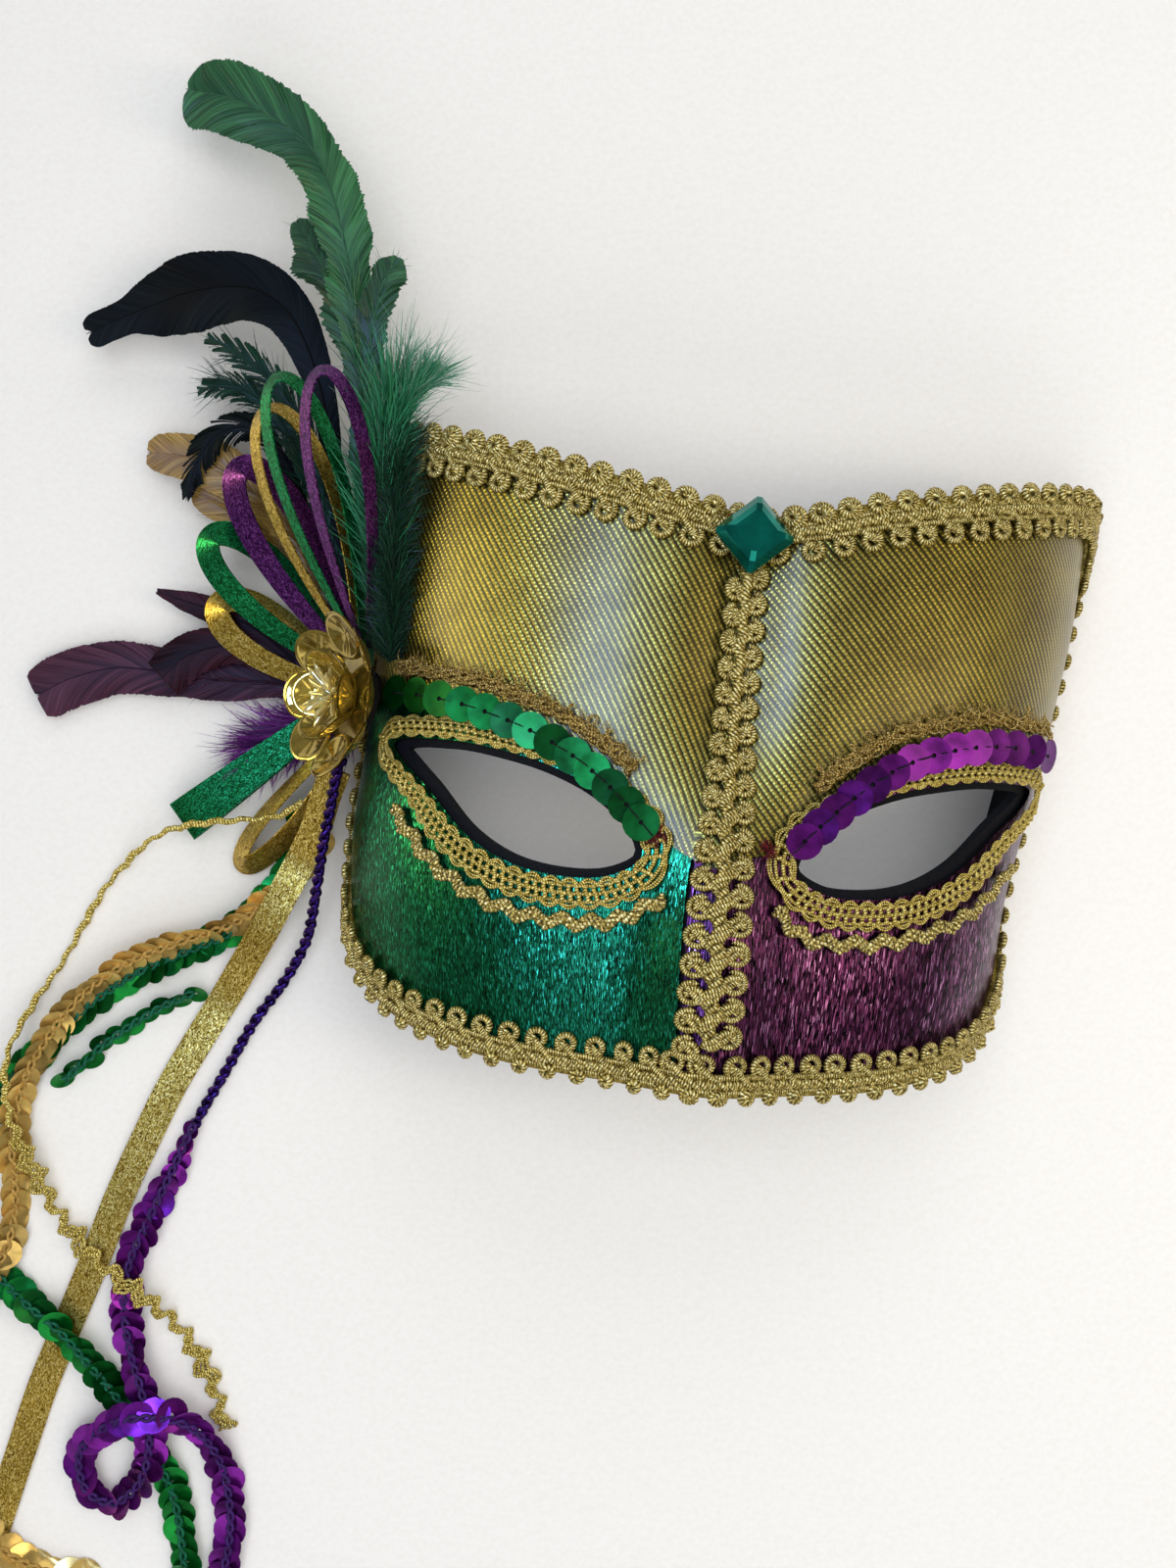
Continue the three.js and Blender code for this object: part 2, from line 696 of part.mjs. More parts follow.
// A layer of the wall between two heights over the face, drawn in from the outline by an inset
function wallLayer(low, high, inset) {
  const lines = [...GRID_LINES.map((u) => -u).reverse(), 0, ...GRID_LINES];
  const narrowing = 1 - inset / SPAN_SCALE;
  const n = lines.length;
  const corners = [];
  for (const height of [low, high]) {
    for (let j = 0; j <= GRID_ROWS; j++) {
      for (const line of lines) {
        const u = line * narrowing;
        const y = THREE.MathUtils.lerp(bottomEdge(u) + inset, topEdge(u) - inset, j / GRID_ROWS);
        corners.push(...raised(u, y, height).toArray());
      }
    }
  }
  const sheet = n * (GRID_ROWS + 1);
  const faces = [];
  const quad = (a, b, c, d) => faces.push(a, b, c, a, c, d);
  for (let j = 0; j < GRID_ROWS; j++) {
    for (let i = 0; i < n - 1; i++) {
      const a = j * n + i;
      quad(a, a + n, a + n + 1, a + 1);
      quad(sheet + a, sheet + a + 1, sheet + a + n + 1, sheet + a + n);
    }
    const left = j * n;
    const right = left + n - 1;
    quad(left, sheet + left, sheet + left + n, left + n);
    quad(right, right + n, sheet + right + n, sheet + right);
  }
  for (let i = 0; i < n - 1; i++) {
    const top = GRID_ROWS * n + i;
    quad(i, i + 1, sheet + i + 1, sheet + i);
    quad(top, sheet + top, sheet + top + 1, top + 1);
  }
  return outward(corners, faces);
}

const PRISM_HEIGHT = 120;
const TABLE_SIZE = 400;

// A plan outline as a tall prism, for cutting the wall
function prism(points) {
  const shape = new THREE.Shape(points.map((p) => new THREE.Vector2(p.x, p.y)));
  const geometry = new THREE.ExtrudeGeometry(shape, { depth: PRISM_HEIGHT, bevelEnabled: false });
  return solidOf(geometry.translate(0, 0, -PRISM_HEIGHT / 2));
}

function planCurve(rows, closed) {
  return new THREE.CatmullRomCurve3(rows.map((p) => point(p.x, p.y, 0)), closed, "centripetal");
}

function eyeOutline(side) {
  const rows = EYE.map(({ x, y }) => {
    if (side === "left") return { x, y };
    const across = 2 * RIGHT_EYE.mirrorAbout - x;
    return { x: across, y: y + RIGHT_EYE.lift * (across - RIGHT_EYE.liftFrom) };
  });
  return planCurve(rows, true).getSpacedPoints(EYE_STEPS).slice(0, -1);
}

// A closed plan outline drawn in, or out, by a distance
function drawnIn(points, distance) {
  const n = points.length;
  const clockwise = THREE.ShapeUtils.isClockWise(points) ? 1 : -1;
  return points.map((p, i) => {
    const along = points[(i + 1) % n].clone().sub(points[(i + n - 1) % n]).normalize();
    return point(p.x + clockwise * along.y * distance, p.y - clockwise * along.x * distance, 0);
  });
}

const tableSide = solidOf(
  new THREE.BoxGeometry(TABLE_SIZE, TABLE_SIZE, PRISM_HEIGHT).translate(0, 0, PRISM_HEIGHT / 2),
);

function maskShell() {
  let solid = solidOf(wallLayer(-WALL.shell, 0, 0)).intersect(tableSide);
  for (const side of ["left", "right"]) {
    solid = solid.subtract(prism(drawnIn(eyeOutline(side), SHELL_EYE_INSET)));
  }
  return geometryOf(solid);
}

// The three cloths, cut from one layer along the brow line and the centre line
function covers() {
  let layer = solidOf(wallLayer(WALL.coverLow, WALL.coverHigh, WALL.coverInset));
  for (const side of ["left", "right"]) layer = layer.subtract(prism(eyeOutline(side)));
  const brow = planCurve(BROW_LINE, false).getSpacedPoints(BROW_STEPS);
  const reach = CLOTH_REACH;
  const shifted = (dy) => brow.map((p) => point(p.x, p.y + dy, 0));
  const above = [...shifted(CLOTH_GAP / 2), point(reach, reach, 0), point(-reach, reach, 0)];
  const below = [...shifted(-CLOTH_GAP / 2), point(reach, -reach, 0), point(-reach, -reach, 0)];
  const half = (side) =>
    prism([
      point((side * CLOTH_GAP) / 2, -reach, 0),
      point(side * reach, -reach, 0),
      point(side * reach, reach, 0),
      point((side * CLOTH_GAP) / 2, reach, 0),
    ]);
  const lower = layer.intersect(prism(below));
  return {
    gold_cover: geometryOf(layer.intersect(prism(above))),
    green_cover: geometryOf(lower.intersect(half(-1))),
    purple_cover: geometryOf(lower.intersect(half(1))),
  };
}

// A flat trim that follows the face along a line of places, reaching left and right of it
function band(places, { left, right, columns = 2, low, high, closed = false }) {
  const n = places.length;
  const rings = places.map(({ u, y }, i) => {
    const a = places[closed ? (i + n - 1) % n : Math.max(0, i - 1)];
    const b = places[closed ? (i + 1) % n : Math.min(n - 1, i + 1)];
    const step = sideStep(u, y, b.u - a.u, b.y - a.y);
    const across = [];
    for (let k = 0; k < columns; k++) {
      const t = THREE.MathUtils.lerp(-right(i), left(i), k / (columns - 1));
      across.push({ u: THREE.MathUtils.clamp(u + step.u * t, -1, 1), y: y + step.y * t });
    }
    const crown = typeof high === "function" ? high(i) : high;
    const top = across.map((p) => raised(p.u, p.y, crown));
    const under = across.map((p) => raised(p.u, p.y, low)).reverse();
    return [...top, ...under];
  });
  return loft(rings, closed);
}

function edgeBraid() {
  const mirrored = EDGE_BRAID.map((row) => ({ ...row, u: -row.u })).reverse();
  const rows = [EDGE_TOP, ...EDGE_BRAID, EDGE_BOTTOM, ...mirrored];
  const stem = new THREE.CatmullRomCurve3(
    rows.map((row) => point(row.u * SPAN_SCALE, row.y, 0)),
    true,
    "centripetal",
  );
  const reach = new THREE.CatmullRomCurve3(rows.map((row) => point(row.out, row.in, 0)), true, "centripetal");
  const n = EDGE_KNOBS * KNOB_STEPS;
  const places = [];
  const reaches = [];
  for (let i = 0; i < n; i++) {
    const t = stem.getUtoTmapping(i / n);
    const p = stem.getPoint(t);
    places.push({ u: p.x / SPAN_SCALE, y: p.y });
    reaches.push(reach.getPoint(t));
  }
  const notch = (i) => (i % KNOB_STEPS === 0 ? KNOB_DEPTH : 0);
  return band(places, {
    left: (i) => reaches[i].x - notch(i),
    right: (i) => reaches[i].y,
    low: WALL.trimLow,
    high: WALL.trimLow + GIMP_THICK,
    closed: true,
  });
}

function centreBraid() {
  const { top, bottom, half, pitch, scallop, columns, low } = CENTRE_BRAID;
  const steps = 2 * Math.round((top - bottom) / pitch);
  const places = [];
  for (let i = 0; i <= steps; i++) {
    const y = THREE.MathUtils.lerp(top, bottom, i / steps);
    places.push({ u: acrossAt(0, y), y });
  }
  const reach = (odd) => (i) => half - (i % 2 === odd ? scallop : 0);
  return band(places, {
    left: reach(0),
    right: reach(1),
    columns,
    low,
    high: low + GIMP_THICK,
  });
}

const onFace = (points) => points.map((p) => ({ u: acrossAt(p.x, p.y), y: p.y }));

function eyeBraid(side) {
  const { near, overLid, underLid, lidBlend, thick, steps } = EYE_BRAID;
  const outline = eyeOutline(side);
  const ring = new THREE.CatmullRomCurve3(outline, true).getSpacedPoints(steps).slice(0, -1);
  const clockwise = THREE.ShapeUtils.isClockWise(ring);
  const lidLine = ring.reduce((sum, p) => sum + p.y, 0) / ring.length;
  const upper = (y) => smooth(lidLine - lidBlend, lidLine + lidBlend, y);
  const outer = (i) => THREE.MathUtils.lerp(underLid, overLid, upper(ring[i].y));
  const inner = () => -near;
  return band(onFace(ring), {
    left: clockwise ? outer : inner,
    right: clockwise ? inner : outer,
    low: WALL.trimLow,
    high: WALL.trimLow + thick,
    closed: true,
  });
}

function browBraid(trim) {
  const { lift, half, thick, reach, steps } = BROW_BRAID;
  const curve = planCurve(trim.sequins, false);
  const line = Array.from({ length: steps + 1 }, (_, i) => curve.getPointAt((reach * i) / steps));
  const side = Math.sign(trim.sequins[0].x);
  const places = onFace(line);
  const near = lift - half;
  const far = lift + half;
  const above = (height) => () => height;
  return band(places, {
    left: above(side < 0 ? far : -near),
    right: above(side < 0 ? -near : far),
    low: WALL.trimLow,
    high: WALL.trimLow + thick,
  });
}

function eyeRicrac(trim) {
  const { half, wave, pitch, thick, stepsPerWave } = RICRAC;
  const curve = planCurve(trim.ricrac, false);
  const waves = Math.round(curve.getLength() / pitch);
  const steps = waves * stepsPerWave;
  const places = onFace(curve.getSpacedPoints(steps));
  const sway = (i) => wave * Math.sin((2 * Math.PI * i) / stepsPerWave);
  return band(places, {
    left: (i) => half + sway(i),
    right: (i) => half - sway(i),
    low: WALL.trimLow,
    high: WALL.trimLow + thick,
  });
}

// A thin disc at a place, facing along a direction and dipping towards a second one
function disc(radius, thick, sides, centre, out, along, dip) {
  const side = out.clone().cross(along).normalize();
  const forward = side.clone().cross(out).normalize();
  const tilt = new THREE.Quaternion().setFromAxisAngle(side, THREE.MathUtils.degToRad(dip));
  const basis = new THREE.Matrix4().makeBasis(
    side,
    out.clone().applyQuaternion(tilt),
    side.clone().cross(out.clone().applyQuaternion(tilt)),
  );
  const geometry = new THREE.CylinderGeometry(radius, radius, thick, sides);
  geometry.rotateY(Math.PI / sides);
  return geometry.applyMatrix4(basis).translate(centre.x, centre.y, centre.z);
}

// Overlapping sequins in a row: scallops that each step down to the next
function sequinRow(trim) {
  const { radius, notch, thick, pitch, shingle, steps, lift } = SEQUIN;
  const curve = planCurve(trim.sequins, false);
  const count = Math.round(curve.getLength() / pitch);
  const places = onFace(curve.getSpacedPoints(steps * count));
  const reach = (i) => (i % steps === 0 ? radius - notch : radius);
  const stepDown = (i) => lift + thick + shingle * (1 - (i % steps) / steps);
  return band(places, { left: reach, right: reach, low: lift, high: stepDown });
}

// A square stone, lozenge up: a flat back, an upright girdle, a sloping crown and a square table
function jewelStone() {
  const { side, table, girdle, height, clip } = JEWEL;
  const square = (edge, z) =>
    [0, 1, 2, 3].map((k) => {
      const angle = (k * Math.PI) / 2;
      return point((Math.cos(angle) * edge) / Math.SQRT2, (Math.sin(angle) * edge) / Math.SQRT2, z);
    });
  const clipped = (edge, z, cut) =>
    square(edge, z).flatMap((corner, k, all) => [
      corner.clone().lerp(all[(k + 3) % 4], cut),
      corner.clone().lerp(all[(k + 1) % 4], cut),
    ]);
  return loft([clipped(side, 0, clip), clipped(side, girdle, clip), clipped(table, height, 2 * clip)]);
}

// The rosette's axes, for the stem and for the head: away from the wall, up the face, and across both
function leaning(degrees) {
  const lean = THREE.MathUtils.degToRad(degrees);
  const out = point(-Math.sin(lean), 0, Math.cos(lean));
  const up = point(0, 1, 0);
  return { out, up, across: up.clone().cross(out) };
}

const stemAxes = { foot: raised(-FLOWER.wallU, FLOWER.y, WALL.coverHigh), ...leaning(FLOWER.lean) };
const headAxes = leaning(FLOWER.headLean);

const around = ({ across, up }, angle) =>
  across.clone().multiplyScalar(Math.cos(angle)).addScaledVector(up, Math.sin(angle));

const onStem = (height) => stemAxes.foot.clone().addScaledVector(stemAxes.out, height);

// A place on the line up through the middle of the head
const onHead = (height) =>
  onStem(FLOWER.stemLength)
    .addScaledVector(headAxes.across, FLOWER.headAcross)
    .addScaledVector(headAxes.up, -FLOWER.headDown)
    .addScaledVector(headAxes.out, height);

// A place round the rosette's stem: an angle from the side nearest the brow, and its reach and height
const roundStem = (degrees, out, height) =>
  onStem(height).addScaledVector(around(stemAxes, THREE.MathUtils.degToRad(degrees)), out);

function flowerBase() {
  const { stemRadius, stemFoot, stemLength, stemInset, stemSides, discRadius, discThick } = FLOWER;
  const length = stemLength + stemInset - stemFoot;
  const stem = disc(stemRadius, length, stemSides, onStem(stemFoot + length / 2), stemAxes.out, stemAxes.up, 0);
  const plate = disc(discRadius, discThick, stemSides, onHead(discThick / 2), headAxes.out, headAxes.up, 0);
  return fuse([stem, plate]);
}

function petalRing({ count, radius, ring, height, tilt, hub, thick, sides }) {
  const { out, up } = headAxes;
  const pieces = [disc(hub, thick, sides, onHead(height), out, up, 0)];
  for (let k = 0; k < count; k++) {
    const away = around(headAxes, (2 * Math.PI * k) / count);
    const rise = Math.sin(THREE.MathUtils.degToRad(tilt)) * (ring + radius - hub) / 2;
    const centre = onHead(height + rise).addScaledVector(away, ring);
    pieces.push(disc(radius, thick, sides, centre, out, away, -tilt));
  }
  return fuse(pieces);
}

function flowerBeads() {
  const { count, radius, length, height, tilt, sides } = FLOWER.beads;
  const lean = THREE.MathUtils.degToRad(tilt);
  const pieces = [];
  for (let k = 0; k < count; k++) {
    const away = around(headAxes, (2 * Math.PI * (k + 0.5)) / count);
    const along = away.clone().multiplyScalar(Math.cos(lean)).addScaledVector(headAxes.out, Math.sin(lean));
    const rod = new THREE.CylinderGeometry(radius, radius, length, sides);
    rod.applyQuaternion(new THREE.Quaternion().setFromUnitVectors(point(0, 1, 0), along));
    const centre = onHead(height).addScaledVector(along, length / 2 - radius);
    pieces.push(rod.translate(centre.x, centre.y, centre.z));
  }
  return fuse(pieces);
}

// A feather's vane: a thin lens section along its shaft
function vane(rows) {
  const shaft = new THREE.CatmullRomCurve3(rows.map((row) => point(row.x, row.y, row.z)));
  const widths = new THREE.CatmullRomCurve3(rows.map((row, i) => point(i, row.w, 0)));
  const steps = Math.max(8, rows.length + 2);
  const rings = [];
  for (let i = 0; i <= steps; i++) {
    const t = i / steps;
    const centre = shaft.getPoint(t);
    const along = shaft.getTangent(t);
    const side = along.clone().cross(point(0, 0, 1)).normalize();
    const out = side.clone().cross(along).normalize();
    const half = Math.max(0.35, widths.getPoint(t).y / 2);
    const thick = (PLUME_THICK / 2) * THREE.MathUtils.clamp(half, 0.5, 1);
    rings.push([
      centre.clone().addScaledVector(side, half),
      centre.clone().addScaledVector(out, thick),
      centre.clone().addScaledVector(side, -half),
      centre.clone().addScaledVector(out, -thick),
    ]);
  }
  return loft(rings);
}

// The vanes of one plume, fused where they leave its first shaft
function plume({ root, vanes }) {
  const { out, height, w } = PLUME_ROOT;
  const foot = roundStem(root, out, height);
  const [first, ...rest] = vanes;
  return fuse([vane([{ x: foot.x, y: foot.y, z: foot.z, w }, ...first]), ...rest.map(vane)]);
}

// A ribbon bent into a teardrop loop, gathered where both its ends meet
function ribbonLoop({ root, tip, dip, breadth, width, tilt = 0, flat = false }) {
  const foot = roundStem(root, LOOP.out, LOOP.height);
  const reach = point(...tip).sub(foot);
  const level = point(-reach.y, reach.x, 0).normalize();
  const side = flat ? point(0, 0, 1) : level;
  const lean = THREE.MathUtils.degToRad(tilt);
  const centre = (t) => {
    const turn = 2 * Math.PI * t;
    const swell = (Math.sin(turn) * Math.sin(turn / 2) ** LOOP.waist * breadth) / LOOP.fullness;
    const apart = LOOP.neck * Math.sign(0.5 - t) * (1 - Math.sin(turn / 2));
    const gone = (1 - Math.cos(turn)) / 2;
    const place = foot.clone().addScaledVector(reach, gone).addScaledVector(side, swell + apart);
    return place.setZ(place.z - dip * Math.sin(Math.PI * gone));
  };
  const rings = [];
  for (let i = 0; i <= LOOP.steps; i++) {
    const t = i / LOOP.steps;
    const nudge = 0.01;
    const along = centre(Math.min(1, t + nudge)).sub(centre(Math.max(0, t - nudge))).normalize();
    const away = point(-along.y, along.x, 0).normalize();
    const leaning = point(0, 0, Math.cos(lean)).addScaledVector(away, -Math.sin(lean));
    const wide = flat ? level.clone() : leaning;
    wide.multiplyScalar((width / 2) * THREE.MathUtils.lerp(LOOP.gather, 1, Math.sin(t * Math.PI)));
    const thin = wide.clone().cross(along).normalize().multiplyScalar(RIBBON_THICK / 2);
    const here = centre(t);
    rings.push([
      here.clone().add(wide).add(thin),
      here.clone().add(wide).sub(thin),
      here.clone().sub(wide).sub(thin),
      here.clone().sub(wide).add(thin),
    ]);
  }
  return loft(rings);
}

// A streamer of flat oval section along its route, from its end on the table back to the rosette
function streamer({ route, steps, width, thick }) {
  const path = new THREE.CatmullRomCurve3(route.map((p) => point(...p)).reverse());
  const section = new THREE.Shape();
  for (let k = 0; k < STREAMER_SIDES; k++) {
    const angle = (2 * Math.PI * (k + 0.5)) / STREAMER_SIDES;
    const x = (Math.cos(angle) * thick) / 2;
    const y = (Math.sin(angle) * width) / 2;
    if (k === 0) section.moveTo(x, y);
    else section.lineTo(x, y);
  }
  return new THREE.ExtrudeGeometry(section, { steps, extrudePath: path, bevelEnabled: false });
}

// A string of sequins, which may start as a rope over some of its route
function sequinString({ route, steps, ropeSpans = 0 }) {
  const discs = streamer({ ...STRING_SECTION, route: route.slice(ropeSpans), steps });
  return ropeSpans ? fuse([streamer({ ...ROPE, route: route.slice(0, ropeSpans + 2) }), discs]) : discs;
}

const layout = new THREE.Group();
function add(name, geometry, colour) {
  const mesh = new THREE.Mesh(geometry, new THREE.MeshStandardMaterial(COLOURS[colour]));
  mesh.name = name;
  layout.add(mesh);
  return mesh;
}

add("mask_shell", maskShell(), "black");
const cloths = covers();
add("gold_cover", cloths.gold_cover, "goldCloth");
add("green_cover", cloths.green_cover, "greenCloth");
add("purple_cover", cloths.purple_cover, "purpleCloth");
add("edge_braid", edgeBraid(), "goldBraid");
add("centre_braid", centreBraid(), "goldBraid");
for (const [side, trim] of [
  ["left", LEFT_TRIM],
  ["right", RIGHT_TRIM],
]) {
  add("eye_braid_" + side, eyeBraid(side), "goldBraid");
  add("brow_braid_" + side, browBraid(trim), "goldBraid");
  add("eye_ricrac_" + side, eyeRicrac(trim), "goldBraid");
  add("sequin_row_" + side, sequinRow(trim), side === "left" ? "greenSequin" : "purpleSequin");
}
const jewel = add("jewel", jewelStone(), "greenJewel");
jewel.position.set(JEWEL.x, JEWEL.y, JEWEL.z);
jewel.rotation.set(THREE.MathUtils.degToRad(-JEWEL.lean), 0, THREE.MathUtils.degToRad(-JEWEL.turn));

add("flower_base", flowerBase(), "black");
add("flower_outer_petals", petalRing(FLOWER.outer), "goldSequin");
add("flower_inner_petals", petalRing(FLOWER.inner), "goldSequin");
add("flower_beads", flowerBeads(), "goldSequin");

const plumeColours = {
  green_plume: "greenFeather",
  marabou: "greenFeather",
  black_plume: "blackFeather",
  green_hackles: "darkGreenFeather",
  black_hackle: "blackFeather",
  tan_plume: "tanFeather",
  purple_plume: "purpleFeather",
  maroon_plume: "maroonFeather",
  purple_fluff: "purpleFeather",
};
for (const one of PLUMES) add(one.name, plume(one), plumeColours[one.name]);
for (const loop of LOOPS) add(loop.name, ribbonLoop(loop), loop.name.split("_")[0] + "Ribbon");

add("gold_ribbon_streamer", streamer(RIBBON_STREAMER), "goldRibbon");
add("ricrac_streamer", streamer(RICRAC_STREAMER), "goldBraid");
for (const [name, string] of Object.entries(STRINGS)) {
  add(name, sequinString(string), name.split("_")[0] + "Sequin");
}

// The origin is under the middle of everything but the two free cords, on the table
const cords = ["gold_ribbon_streamer", "ricrac_streamer"];
const extent = new THREE.Box3();
layout.updateMatrixWorld(true);
for (const mesh of layout.children) {
  if (!cords.includes(mesh.name)) extent.union(new THREE.Box3().setFromObject(mesh, true));
}
const centre = extent.getCenter(point(0, 0, 0));
layout.position.set(-centre.x, -centre.y, -extent.min.z);

const mask = new THREE.Group();
mask.add(layout);

export default mask;
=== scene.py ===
import math
import bpy
import numpy as np
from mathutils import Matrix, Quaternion, Vector


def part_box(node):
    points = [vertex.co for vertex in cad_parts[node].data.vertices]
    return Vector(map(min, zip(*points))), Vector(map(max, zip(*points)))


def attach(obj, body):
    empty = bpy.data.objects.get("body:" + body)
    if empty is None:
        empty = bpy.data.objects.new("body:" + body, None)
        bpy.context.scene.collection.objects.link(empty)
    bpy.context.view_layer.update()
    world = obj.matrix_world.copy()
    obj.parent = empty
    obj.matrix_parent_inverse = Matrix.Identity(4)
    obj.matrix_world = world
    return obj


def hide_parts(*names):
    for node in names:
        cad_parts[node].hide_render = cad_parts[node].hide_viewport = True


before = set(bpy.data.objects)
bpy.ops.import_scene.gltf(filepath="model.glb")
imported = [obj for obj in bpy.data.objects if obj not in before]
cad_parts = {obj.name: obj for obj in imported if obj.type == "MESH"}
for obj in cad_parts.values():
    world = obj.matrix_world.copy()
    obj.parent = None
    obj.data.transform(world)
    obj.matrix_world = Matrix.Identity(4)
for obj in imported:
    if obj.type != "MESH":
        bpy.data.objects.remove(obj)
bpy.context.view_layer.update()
rng = np.random.default_rng(7)
mm = 0.001
turn = 2 * math.pi

# The mask's own layout is in millimetres, with the nose on x = 0. The jewel's box tells where it went.
stone = {"x": 0.3, "y": 50.2, "z": 50.8, "side": 11.2, "table": 6.4, "girdle": 1.0, "crown": 1.9,
         "height": 4.0, "turn": 2.5, "lean": 6.0, "clip": 0.06}
stoneMiddle = sum(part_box("jewel"), Vector()) / 2
stoneRise = stone["girdle"] * math.sin(math.radians(stone["lean"])) / 2
shift = np.array([stoneMiddle.x - stone["x"] * mm, stoneMiddle.y - (stone["y"] + stoneRise) * mm, 0.0])


def inPart(points):
    return np.asarray(points, float) * mm + shift


# Camera straight above the table, as in the photo
view = {"x": -26.7, "y": 0.0, "height": 350.0, "turn": 5.555, "lens": 36.0, "sensor": 36.0, "clip": 0.01}
cameraData = bpy.data.cameras.new("camera")
cameraData.lens = view["lens"]
cameraData.sensor_width = view["sensor"]
cameraData.clip_start = view["clip"]
camera = bpy.data.objects.new("camera", cameraData)
camera.location = inPart([view["x"], view["y"], view["height"]])
camera.rotation_euler = (0, 0, math.radians(view["turn"]))
bpy.context.collection.objects.link(camera)
bpy.context.scene.camera = camera


def colour(code):
    parts = [int(code[i:i + 2], 16) / 255 for i in (1, 3, 5)]
    return tuple(c / 12.92 if c <= 0.04045 else ((c + 0.055) / 1.055) ** 2.4 for c in parts) + (1.0,)


def tintOf(code):
    return np.array(colour(code)[:3])


# Shader nodes: a value that is a socket is linked, and any other is set
def feed(tree, node, values):
    for key, value in values.items():
        if isinstance(value, bpy.types.NodeSocket):
            tree.links.new(value, node.inputs[key])
        elif isinstance(key, int) or key in node.inputs:
            node.inputs[key].default_value = value
        else:
            setattr(node, key, value)


def addNode(tree, kind, values):
    made = tree.nodes.new("ShaderNode" + kind)
    feed(tree, made, values)
    return made


def maths(tree, operation, *values, kind="Math"):
    return addNode(tree, kind, {"operation": operation, **dict(enumerate(values))}).outputs[0]


def noise(tree, scale, detail, place):
    return addNode(tree, "TexNoise", {"Scale": scale, "Detail": detail, "Vector": place}).outputs["Fac"]


def multiplied(tree, first, second, share=1.0):
    mix = {"data_type": "RGBA", "blend_type": "MULTIPLY", 0: share, 6: first, 7: second}
    return addNode(tree, "Mix", mix).outputs[2]


def ramp(tree, source, stops):
    made = addNode(tree, "ValToRGB", {"Fac": source})
    bar = made.color_ramp.elements
    while len(bar) < len(stops):
        bar.new(0.5)
    for element, (at, code) in zip(bar, stops):
        element.position = at
        element.color = colour(code)
    return made.outputs["Color"]


def bumped(tree, shader, height, strength, distance):
    bump = addNode(tree, "Bump", {"Strength": strength, "Distance": distance, "Height": height})
    feed(tree, shader, {"Normal": bump.outputs["Normal"]})


def onCloth(tree):
    return addNode(tree, "TexCoord", {}).outputs["UV"]


def inSpace(tree):
    return addNode(tree, "NewGeometry", {}).outputs["Position"]


def ownTint(tree):
    return addNode(tree, "Attribute", {"attribute_name": "tint"}).outputs["Color"]


def newMaterial(name, settings):
    made = bpy.data.materials.new(name)
    made.use_nodes = True
    shader = made.node_tree.nodes["Principled BSDF"]
    feed(made.node_tree, shader, settings)
    return made, made.node_tree, shader


# Smooth lines through a few places, evenly spaced, and values between the rows of a table
def distances(points):
    return np.concatenate([[0], np.cumsum(np.linalg.norm(np.diff(points, axis=0), axis=1))])


def smoothLine(points, count, closed=False, dense=24):
    p = np.asarray(points, float)
    if closed:
        ring = np.vstack([p[-1], p, p[0], p[1]])
    else:
        ring = np.vstack([2 * p[0] - p[1], p, 2 * p[-1] - p[-2]])
    t = np.linspace(0, 1, dense, endpoint=False)[:, None]
    parts = []
    for i in range(len(ring) - 3):
        a, b, c, d = ring[i:i + 4]
        gaps = [max(np.linalg.norm(q - r), 1e-6) ** 0.5 for q, r in ((b, a), (c, b), (d, c))]
        v0 = ((b - a) / gaps[0] - (c - a) / (gaps[0] + gaps[1]) + (c - b) / gaps[1]) * gaps[1]
        v1 = ((c - b) / gaps[1] - (d - b) / (gaps[1] + gaps[2]) + (d - c) / gaps[2]) * gaps[1]
        parts.append(b + v0 * t + (-3 * b + 3 * c - 2 * v0 - v1) * t ** 2
                     + (2 * b - 2 * c + v0 + v1) * t ** 3)
    parts.append(p[:1] if closed else p[-1:])
    line = np.vstack(parts)
    far = distances(line)
    want = np.linspace(0, far[-1], count, endpoint=not closed)
    return np.stack([np.interp(want, far, line[:, k]) for k in range(p.shape[1])], 1)


def lineLength(points):
    return np.linalg.norm(np.diff(points, axis=0), axis=1).sum()


def between(rows, column, at):
    rows = np.asarray(rows, float)
    key, value = rows[:, 0], rows[:, column]
    slope = np.empty(len(key))
    slope[1:-1] = (value[2:] - value[:-2]) / (key[2:] - key[:-2])
    slope[0] = (value[1] - value[0]) / (key[1] - key[0])
    slope[-1] = (value[-1] - value[-2]) / (key[-1] - key[-2])
    i = np.clip(np.searchsorted(key, at) - 1, 0, len(key) - 2)
    span = key[i + 1] - key[i]
    t = np.clip((at - key[i]) / span, 0, 1)
    return ((2 * t ** 3 - 3 * t ** 2 + 1) * value[i] + (t ** 3 - 2 * t ** 2 + t) * span * slope[i]
            + (3 * t ** 2 - 2 * t ** 3) * value[i + 1] + (t ** 3 - t ** 2) * span * slope[i + 1])


def smoothStep(low, high, at):
    t = np.clip((at - low) / (high - low), 0, 1)
    return t * t * (3 - 2 * t)


def unit(v):
    return v / np.maximum(np.linalg.norm(v, axis=-1, keepdims=True), 1e-9)


